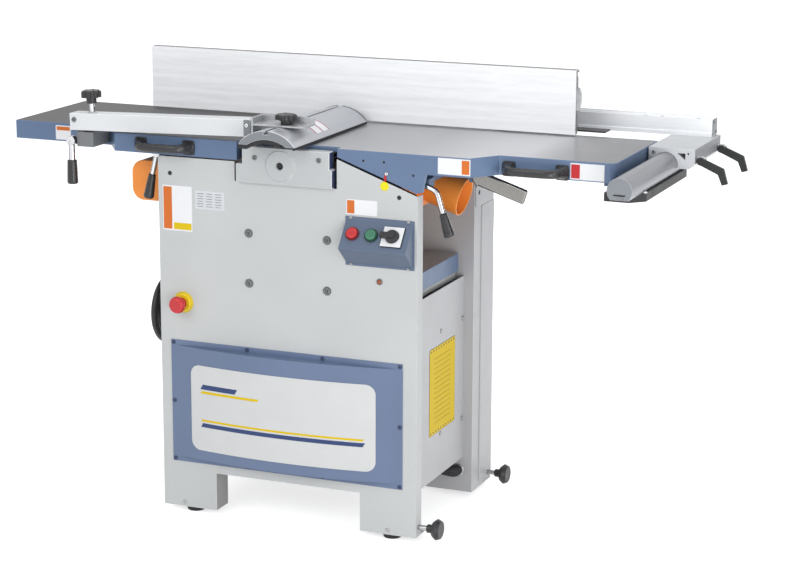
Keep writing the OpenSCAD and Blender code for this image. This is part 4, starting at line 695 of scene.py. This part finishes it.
# Fasteners: dull socket bolts on washers, painted cover screws, steel screws on the box and side panels
BOLT_X, BOLT_OUT, BOLT_ZS = 6, 98.5, (695, 577)
COVER_X, COVER_Y, COVER_OUT, COVER_MID, COVER_ZS = -3, -2, 288.5, 275, (132.5, 417.5)
BOX_X, BOX_Y, BOX_OUT, BOX_ZS = 235, -2, 70, (645.5, 753.5)
PANEL_YS, PANEL_ZS = (215, 354), (452, 202)
COVER_SCREW = (5.0, 2.5)
p = Part()
for s in (-1, 1):
    for z in BOLT_ZS:
        q = (BOLT_X + s * BOLT_OUT, SHEET_Y, z)
        p.lathe(q, FRONT, [(10.4, -0.2), (10.4, 0.9), (9.9, 1.2), (6, 1.2)], 36, 1, end=False)
        p.screw(q, FRONT, 8.6, 4.4, 1, "hex", 36)
for z in COVER_ZS:
    for i in (-1, -1 / 3, 1 / 3, 1):
        p.screw((COVER_X + i * COVER_OUT, COVER_Y, z), FRONT, *COVER_SCREW, 0)
for s in (-1, 1):
    p.screw((COVER_X + s * COVER_OUT, COVER_Y, COVER_MID), FRONT, *COVER_SCREW, 0)
    for z in BOX_ZS:
        p.screw((BOX_X + s * BOX_OUT, BOX_Y, z), FRONT, 3.4, 2.4, 2)
    for y in PANEL_YS:
        for z in PANEL_ZS:
            p.screw((s * PANEL_X, y, z), RIGHT if s > 0 else LEFT, 6.0, 2.5, 2)
o = p.done("screw_set", [BLUE_SCREW_AND_SHADE, STEEL_DULL, STEEL], "cabinet", "machined_steel")
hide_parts("fasteners")

# Small holes drawn as near-black dishes of painted shade, amber lens and round plug on the front sheet
SHEET_HOLES, SHEET_HOLE_R = ((-293.8, 821), (281.2, 807)), 4.6
LENS_AT = (234.3, SHEET_Y, 610.3)
PLUG_AT = (134.2, SHEET_Y, 733.5)
p = Part()
for x, z in SHEET_HOLES:
    p.hole((x, SHEET_Y, z), FRONT, SHEET_HOLE_R)
lens = [(7.4, -0.2), (7.4, 1.2), (6.4, 2.0), (5.4, 2.0), (5.2, 3.0), (3.6, 4.2), (1.6, 4.7), (0.02, 4.8)]
p.lathe(LENS_AT, FRONT, lens, 32, ks=[1, 1, 1, 2, 2, 2, 2, 2])
plug = [(11.5, -0.2), (11.5, 0.35), (10.8, 0.6), (9.8, 0.6), (9.4, 0.3), (0.05, 0.32)]
p.lathe(PLUG_AT, FRONT, plug, 36, 3)
p.done("front_fittings", [HOLE, STEEL_DULL, AMBER, GREY], "cabinet", "grey_paint")

# Round depth mark on the sheet; pointer, its screw and small holes on the skirt, the holes near-black dishes
# of painted shade
MARK_AT = (245.8, SHEET_Y, 830.3)
SKIRT_HOLES, SKIRT_HOLE_R = ((194.2, 884.2), (244.1, 884.6), (314.8, 859.4)), 2.9
POINTER_X, POINTER_T, POINTER_MID, POINTER_LOW = 247.5, 1.2, 851, 847
POINTER_SCREW = (250.7, SHEET_Y, 859)
p = Part()
p.lathe(MARK_AT, FRONT, [(10.4, -0.2), (10.4, 0.4), (9.8, 0.7), (0.05, 0.8)], 36, 0)
p.done("depth_mark", [FILM_MARK], "cabinet", "yellow_plastic")
p = Part()
for x, z in SKIRT_HOLES:
    p.hole((x, SHEET_Y, z), FRONT, SKIRT_HOLE_R)
p.screw(POINTER_SCREW, FRONT, 4.2, 3.0, 2)
p.plate((POINTER_X, SHEET_Y, POINTER_MID), FRONT, 5, 9, POINTER_T, 0.8, 3)
tip = (POINTER_X, SHEET_Y, POINTER_LOW)
p.rings([[at(tip, FRONT, u, v, w) for u, v in ((-4, 0), (4, 0), (0, -7))] for w in (0, POINTER_T)], 3)
p.done("skirt_fittings", [HOLE, BLUE_CAST, CHROME, FILM_RED], "infeed", "machined_steel")

# Painted shade: dark strip behind the front sheet's slanted edge, filling the gap under the skirt
EDGE_X, EDGE_Z, EDGE_FALL = 150, 875.4, 0.364
GAP_SHADE_X0, GAP_SHADE_X1, GAP_SHADE_Y0, GAP_SHADE_Y1, GAP_SHADE_H, GAP_SHADE_DOWN = 132, 318, 3, 14, 9, 0.4


def gap_shade(x):
    """Section of the dark strip at x, just under the sheet's edge."""
    top = EDGE_Z - EDGE_FALL * (x - EDGE_X) - GAP_SHADE_DOWN
    low = top - GAP_SHADE_H
    return [(x, GAP_SHADE_Y0, low), (x, GAP_SHADE_Y1, low), (x, GAP_SHADE_Y1, top), (x, GAP_SHADE_Y0, top)]


p = Part()
p.rings([gap_shade(GAP_SHADE_X0), gap_shade(GAP_SHADE_X1)])
p.done("skirt_gap_shade", [RUBBER], "cabinet", "rubber", 0.6)

# Bearing plate: two screws and a ring round the shaft's bore, the bore's depth near-black as painted shade
BEARING_SCREWS = ((-70.8, 874.5), (89.6, 878.9))
SHAFT_AT = (-7, -12, 859)
p = Part()
for x, z in BEARING_SCREWS:
    p.screw((x, BEARING_Y, z), FRONT, 6.0, 2.6, 1, "hex")
bore = [(11.5, -0.4), (11.5, 0.3), (10.8, 0.5), (9.2, 0.5), (8.7, 0.2), (8.5, -3.6), (0.05, -3.6)]
p.lathe(SHAFT_AT, FRONT, bore, 40, ks=[0, 0, 0, 0, 2, 2, 2], start=False)
p.done("bearing_fittings", [BEARING, STEEL_DULL, HOLE], "cabinet", "grey_paint")


# Blank plates and stripes
def label(name, o, f, w, h, bands, body, base=WHITE, t=0.5, rc=1.5, slot="white_sheet", edge_mat=FILM_SILVER):
    """Blank plate with a thin border and plain bands: (u, v, width, height, material)."""
    q = Part()
    mats = [base, edge_mat]
    q.plate(o, f, w, h, t, rc, 1, 0.2)
    q.plate(o, f, w - 2, h - 2, 0.12, rc * 0.7, 0, 0.05, t)
    for u, v, bw, bh, m in bands:
        if m not in mats:
            mats.append(m)
        q.plate(at(o, f, u, v, 0), f, bw, bh, 0.12, min(1.0, rc), mats.index(m), 0.05, t + 0.1)
    return q.done(name, mats, body, slot)


label("plate_front_left", (-275.5, SHEET_Y, 739.2), FRONT, 77, 108,
      [(-25, 0, 22, 100, FILM_ORANGE), (13, -42, 46, 16, FILM_YELLOW)], "cabinet")
ROW_U, ROW_V, ROW_TOP, ROW_W, ROW_H = 23, 6, 15, 18, 1.6
rows = [((i % 3 - 1) * ROW_U - 1, ROW_TOP - ROW_V * (i // 3), ROW_W - 3 * (i % 2), ROW_H, PRINT_AND_SHADE_GREY)
        for i in range(18)]
label("plate_data", (-191.5, SHEET_Y, 763.5), FRONT, 76, 44, rows, "cabinet", base=FILM_SILVER)
label("plate_switch", (190.7, SHEET_Y, 777.5), FRONT, 77, 36, [(-27, 0, 18, 30, FILM_ORANGE)], "cabinet")
label("plate_skirt", (411.5, SHEET_Y, 886), FRONT, 77, 37, [(27, 0, 18, 31, FILM_ORANGE)], "infeed")
label("plate_infeed", (697, APRON_Y, 884), FRONT, 78, 37, [(-27, 0, 20, 31, FILM_RED)], "infeed")
label("plate_outfeed", (-614, APRON_Y, 884), FRONT, 42, 35, [(0, 10, 36, 9, FILM_ORANGE)], "outfeed")
TICK_U, TICK_V, TICK_PITCH, LINE_V, LINE_W, LINE_H, LINE_PITCH = 72, 99, 16, 78, 104, 1.4, 12
ticks = [(u, v, 5, 4, FILM_BLACK) for v in (TICK_V, -TICK_V) for u in range(-TICK_U, TICK_U + 1, TICK_PITCH)]
ticks += [(0, v, LINE_W, LINE_H, FILM_OCHRE) for v in range(-LINE_V, LINE_V + 1, LINE_PITCH)]
label("plate_side", (PANEL_X, 224, 316), RIGHT, 164, 211, ticks, "cabinet",
      base=FILM_YELLOW, rc=4, slot="yellow_plastic", edge_mat=FILM_BLACK)

# Plain stripes on the drum-shaped window: arcs just proud of it
DRUM_HALF, DRUM_RISE, WINDOW_T = 282, 30, 1.5
DRUM_R = (DRUM_HALF ** 2 + DRUM_RISE ** 2) / (2 * DRUM_RISE)
DRUM_CY = DRUM_R - DRUM_RISE + COVER_Y
STRIPE_X0 = -215
STRIPES = ((200, 222, 232, 6, 0), (200, 236, 241, 4, 1), (-60, 304, 310, 4, 1), (-120, 314, 326, 7, 0))


def drum(x, off):
    """Y of the window's face at x, off mm proud of it."""
    r = DRUM_R + WINDOW_T + off
    return DRUM_CY - math.sqrt(r * r - (x - COVER_X) ** 2)


def stripe(q, x0, x1, z0, z1, lean, k, n=28):
    """Stripe over the drum from x0 to x1, its top moved by lean."""
    xs = [x0 + (x1 - x0) * i / n for i in range(n + 1)]

    def outline(off):
        back = [(x + lean, drum(x + lean, off), z1) for x in reversed(xs)]
        return [(x, drum(x, off), z0) for x in xs] + back
    q.band(outline(0.02), outline(0.18), k)


q = Part()
for x1, z0, z1, lean, k in STRIPES:
    stripe(q, STRIPE_X0, x1, z0, z1, lean, k)
q.done("window_stripes", [FILM_BLUE, FILM_YELLOW], "cabinet", "blue_paint")

# Guard: plain stripes, bright near rim and dark far rim on its arch
GUARD_X, GUARD_W, GUARD_TOP, GUARD_RISE, GUARD_Y0, GUARD_Y1 = -10, 140, 949, 34, -75, 335
GUARD_R = (GUARD_W * GUARD_W / 4 + GUARD_RISE * GUARD_RISE) / (2 * GUARD_RISE)
GUARD_CZ = GUARD_TOP - GUARD_R
GUARD_LOW = GUARD_TOP - GUARD_RISE
MARKS, MARK_X0, MARK_X1 = (62, 70, 96, 105, 131, 139), 10, 50
RIMS = ((-68, -6), (6, 68))


def arc_z(x, off=0):
    """Height of the guard's arch at x, off mm proud of it."""
    return GUARD_CZ + math.sqrt((GUARD_R + off) ** 2 - (x - GUARD_X) ** 2)


def guard_band(q, x0, x1, y0, y1, k, off=0.05, t=0.15, n=16):
    """Thin band that follows the arch."""
    xs = [x0 + (x1 - x0) * i / n for i in range(n + 1)]

    def outline(d):
        return [(x, y0, arc_z(x, d)) for x in xs] + [(x, y1, arc_z(x, d)) for x in reversed(xs)]
    q.band(outline(off), outline(off + t), k)


def guard_rim(name, y0, y1, t, mat, slot):
    """Rim along one end of the guard, on both halves of its arch."""
    q = Part()
    for u0, u1 in RIMS:
        guard_band(q, GUARD_X + u0, GUARD_X + u1, y0, y1, 0, -0.2, t, 24)
    q.done(name, [mat], "guard", slot)


q = Part()
for i, (y0, y1) in enumerate(zip(MARKS, MARKS[1:])):
    guard_band(q, MARK_X0, MARK_X1, y0, y1, i % 2)
q.done("guard_stripes", [FILM_PALE, WHITE], "guard", "white_sheet")
guard_rim("guard_rim", GUARD_Y0 - 0.3, GUARD_Y0 + 1.6, 0.7, BRIGHT, "aluminium")
guard_rim("guard_far_rim", GUARD_Y1 - 3.6, GUARD_Y1 + 0.2, 0.6, RUBBER, "rubber")

# Dark lip under the guard's near cap, from its left foot round the arch
LIP, LIP_L, LIP_IN, LIP_T, CAP_H = 10, 106, 0.4, 3.4, 20
xs = [GUARD_X - GUARD_W / 2 + LIP_L * i / 36 for i in range(37)]
crown = [max(GUARD_LOW, arc_z(x) - CAP_H) for x in xs]
q = Part()
lip = [list(zip(xs, [z + g for z in crown])) for g in (0.2, -LIP)]
lip_ys = (GUARD_Y0 + LIP_IN, GUARD_Y0 + LIP_IN + LIP_T)
q.rings([[(x, y, z) for x, z in lip[0] + lip[1][::-1]] for y in lip_ys])
q.done("guard_lip", [RUBBER], "guard", "rubber")

# Arm: screw at its pivot, plate at its far end, collar under the height knob
PIVOT_X, PIVOT_Z = -533, 933.6
END_X, END_Z, END_W, END_H, END_T, END_SCREW_UP = -84, 943, 16, 37, 1.6, 6
COLLAR_AT = (-495, 0, 949.8)
p = Part()
p.screw((PIVOT_X, ARM_Y, PIVOT_Z), FRONT, 6, 3, 0)
p.done("arm_end_screw", [STEEL_DULL], "arm", "machined_steel")
p = Part()
p.plate((END_X, ARM_Y, END_Z), FRONT, END_W, END_H, END_T, 2, 0, 0.4)
p.screw((END_X, ARM_Y - END_T, END_Z + END_SCREW_UP), FRONT, 5, 2.4, 1)
p.done("arm_end_plate", [CAP, CHROME], "arm", "machined_steel")
p = Part()
p.lathe(COLLAR_AT, UP, [(11, 0), (11, 1.4), (10, 2.0), (6.2, 2.0)], 32, 0, end=False)
p.done("knob_collar", [FILM_SILVER], "arm", "machined_steel")

# Tube end cap: slot, a near-black plate of painted shade, and tab; clamp screw on the tube's bracket
CAP_SLOT, CAP_TAB = (804, TUBE_Y, 860), (806, TUBE_Y, 854.5)
TUBE_SCREW = (829, 62, 849)
p = Part()
p.plate(CAP_SLOT, FRONT, 27, 3.2, 0.3, 1.2, 0, 0.1)
p.plate(CAP_TAB, FRONT, 12, 5.5, 2.2, 1.2, 1, 0.5)
p.done("tube_end_fittings", [HOLE, CAP], "infeed", "aluminium")
p = Part()
p.screw(TUBE_SCREW, UP, 6, 4, 0, "hex")
p.done("tube_clamp_screw", [CHROME], "infeed", "machined_steel")

# Beam: end cap with two screws, seams along its top
BEAM_X, BEAM_Y, BEAM_MID, BEAM_TOP, BEAM_CAP, BEAM_CAP_T = 862, 508, 929, 948, 37, 1.6
BEAM_SCREWS, SEAM_XS, SEAM_Y = ((-11, 12), (10, -12)), (700, 740, 828), 494
p = Part()
p.plate((BEAM_X, BEAM_Y, BEAM_MID), RIGHT, BEAM_CAP, BEAM_CAP, BEAM_CAP_T, 2, 0, 0.5)
for u, v in BEAM_SCREWS:
    p.screw((BEAM_X + BEAM_CAP_T, BEAM_Y + u, BEAM_MID + v), RIGHT, 3.6, 1.6, 1)
for x in SEAM_XS:
    p.plate((x, SEAM_Y, BEAM_TOP), UP, 9, 2.4, 0.25, 0.6, 2, 0.1)
p.done("beam_end_fittings", [CAST_ALU_SHADE, STEEL_DULL, HOLE], "carriage", "aluminium")

# Screws low on the front feet
FOOT_XS, FOOT_SCREW_Z = (-270, 255), 24
p = Part()
for x in FOOT_XS:
    p.screw((x, SHEET_Y, FOOT_SCREW_Z), FRONT, 5, 2.5, 0)
p.done("foot_screws", [STEEL], "cabinet", "machined_steel")

# Black boot low on the rear column, half hidden by the side panel
BOOT = ((288, 364, 66), (287.5, 355, 66.5), (284, 346, 68), (274, 338, 70), (258, 334, 71))
BOOT_R, BOOT_SWELL = 11, 3
p = Part()
sweep(p, smooth_path(BOOT), lambda t: (BOOT_R + BOOT_SWELL * math.sin(3.1 * t),) * 2, (0, 0, 1))
p.lathe(BOOT[0], FRONT, [(17, 0), (17, 2.0), (15.5, 3.2), (10, 3.2)], 32, 1, end=False)
p.done("column_boot", [RUBBER, STEEL], "cabinet", "rubber")

# Flange of the rear cover, lapped over the right side of the rear column
LAP_Y, LAP_EDGE_Y, LAP_Z, LAP_W, LAP_H = 451.5, 412, 374, 86, 690
p = Part()
p.plate((COLUMN_X, LAP_Y, LAP_Z), RIGHT, LAP_W, LAP_H, 1.4, 3, 0, 0.4)
p.plate((COLUMN_X, LAP_EDGE_Y, LAP_Z), RIGHT, 3, LAP_H, 2.6, 1.2, 0, 0.8)
p.done("column_flange", [GREY_SIDE], "cabinet", "grey_paint")

# Unpainted rib under the edge of the thicknesser table
RIB_X, RIB_Y0, RIB_Y1, RIB_T, RIB_TOP, RIB_LOW = 285, 46, 344, 4, 568.5, 550


def rib(g, z):
    """Outline of the rib at height z, g inside its outer face."""
    return [(sx * (RIB_X - g), RIB_Y1 - g if sy > 0 else RIB_Y0 + g, z)
            for sx, sy in ((-1, -1), (1, -1), (1, 1), (-1, 1))]


turns = ((0, RIB_TOP), (0, RIB_LOW), (RIB_T, RIB_LOW), (RIB_T, RIB_TOP), (0, RIB_TOP))
p = Part()
p.rings([rib(*q) for q in turns], start=False, end=False)
p.done("bed_rib", [IRON_BED], "thicknesser", "ground_iron", 0.8, False)

# Bracket on the upper right of the rear column, its bore's depth near-black as painted shade
EAR_Y, EAR_Z, EAR_W, EAR_H, EAR_T = 427, 752, 120, 64, 2
EAR_X = COLUMN_X + EAR_T
EAR_HOLE, EAR_SCREW = (EAR_X, 388.4, 754), (EAR_X, 468, 770)
p = Part()
p.plate((COLUMN_X, EAR_Y, EAR_Z), RIGHT, EAR_W, EAR_H, EAR_T, 10, 0, 0.5)
bore = [(7, -0.2), (7, 0.3), (6, 0.4), (5.6, 0.1), (0.05, 0.05)]
p.lathe(EAR_HOLE, RIGHT, bore, 28, ks=[0, 0, 0, 1, 1])
p.screw(EAR_SCREW, RIGHT, 5.5, 2.4, 2, "hex")
p.done("column_bracket", [GREY_SIDE, HOLE, STEEL_DULL], "cabinet", "grey_paint")


# Stage and light
FLOOR_HALF, FLOOR_TONE, FLOOR_GLOW, SOFT_LIGHT = 60, 0.86, 0.60, 0.71


def seen_rays(t):
    """Output that is 1 for rays of the camera, of reflections and of see-through pieces."""
    path = t.nodes.new("ShaderNodeLightPath")
    last = path.outputs["Is Camera Ray"]
    for kind in ("Is Glossy Ray", "Is Transmission Ray"):
        most = t.nodes.new("ShaderNodeMath")
        most.operation = "MAXIMUM"
        t.links.new(last, most.inputs[0])
        t.links.new(path.outputs[kind], most.inputs[1])
        last = most.outputs[0]
    return last


floor_me = bpy.data.meshes.new("floor")
corners = [(FLOOR_HALF * u, FLOOR_HALF * v, 0) for u, v in ((-1, -1), (1, -1), (1, 1), (-1, 1))]
floor_me.from_pydata(corners, [], [(0, 1, 2, 3)])
floor = bpy.data.objects.new("floor", floor_me)
scene.collection.objects.link(floor)
fm = bpy.data.materials.new("floor_white")
fm.use_nodes = True
t = fm.node_tree
t.nodes.clear()
out = t.nodes.new("ShaderNodeOutputMaterial")
dif = t.nodes.new("ShaderNodeBsdfDiffuse")
dif.inputs["Color"].default_value = (FLOOR_TONE, FLOOR_TONE, FLOOR_TONE, 1)
emi = t.nodes.new("ShaderNodeEmission")
glow = t.nodes.new("ShaderNodeMath")
glow.operation = "MULTIPLY"
glow.inputs[1].default_value = FLOOR_GLOW
t.links.new(seen_rays(t), glow.inputs[0])
t.links.new(glow.outputs[0], emi.inputs["Strength"])
add = t.nodes.new("ShaderNodeAddShader")
t.links.new(dif.outputs[0], add.inputs[0])
t.links.new(emi.outputs[0], add.inputs[1])
t.links.new(add.outputs[0], out.inputs["Surface"])
floor_me.materials.append(fm)

world = bpy.data.worlds.new("studio")
scene.world = world
world.use_nodes = True
t = world.node_tree
t.nodes.clear()
out = t.nodes.new("ShaderNodeOutputWorld")
soft = t.nodes.new("ShaderNodeBackground")
soft.inputs["Color"].default_value = (0.97, 0.985, 1.0, 1)
soft.inputs["Strength"].default_value = SOFT_LIGHT
seen = t.nodes.new("ShaderNodeBackground")
seen.inputs["Color"].default_value = (1, 1, 1, 1)
seen.inputs["Strength"].default_value = 1.0
mixer = t.nodes.new("ShaderNodeMixShader")
t.links.new(seen_rays(t), mixer.inputs["Fac"])
t.links.new(soft.outputs[0], mixer.inputs[1])
t.links.new(seen.outputs[0], mixer.inputs[2])
t.links.new(mixer.outputs[0], out.inputs["Surface"])


def lamp(name, loc, aim, size, power):
    """Rectangular lamp, placed and aimed in metres."""
    d = bpy.data.lights.new(name, "AREA")
    d.shape = "RECTANGLE"
    d.size, d.size_y = size
    d.energy = power
    o = bpy.data.objects.new(name, d)
    scene.collection.objects.link(o)
    o.location = loc
    o.rotation_mode = "QUATERNION"
    o.rotation_quaternion = (Vector(aim) - Vector(loc)).to_track_quat("-Z", "Y")


lamp("key", (-0.9, -3.6, 2.6), (0, 0, 0.6), (2.4, 1.8), 40)
lamp("fill", (3.6, -1.7, 1.3), (0, 0, 0.6), (2.0, 2.0), 40)
lamp("top", (0.4, 0.0, 3.6), (0, 0, 0.5), (2.6, 1.8), 20)
lamp("back", (-1.0, 3.4, 0.55), (0, 0, 0.5), (2.6, 0.6), 26)
lamp("low", (1.6, -2.2, 0.35), (0.25, 0, 0.75), (1.2, 0.6), 12)

scene.view_settings.view_transform = "Standard"
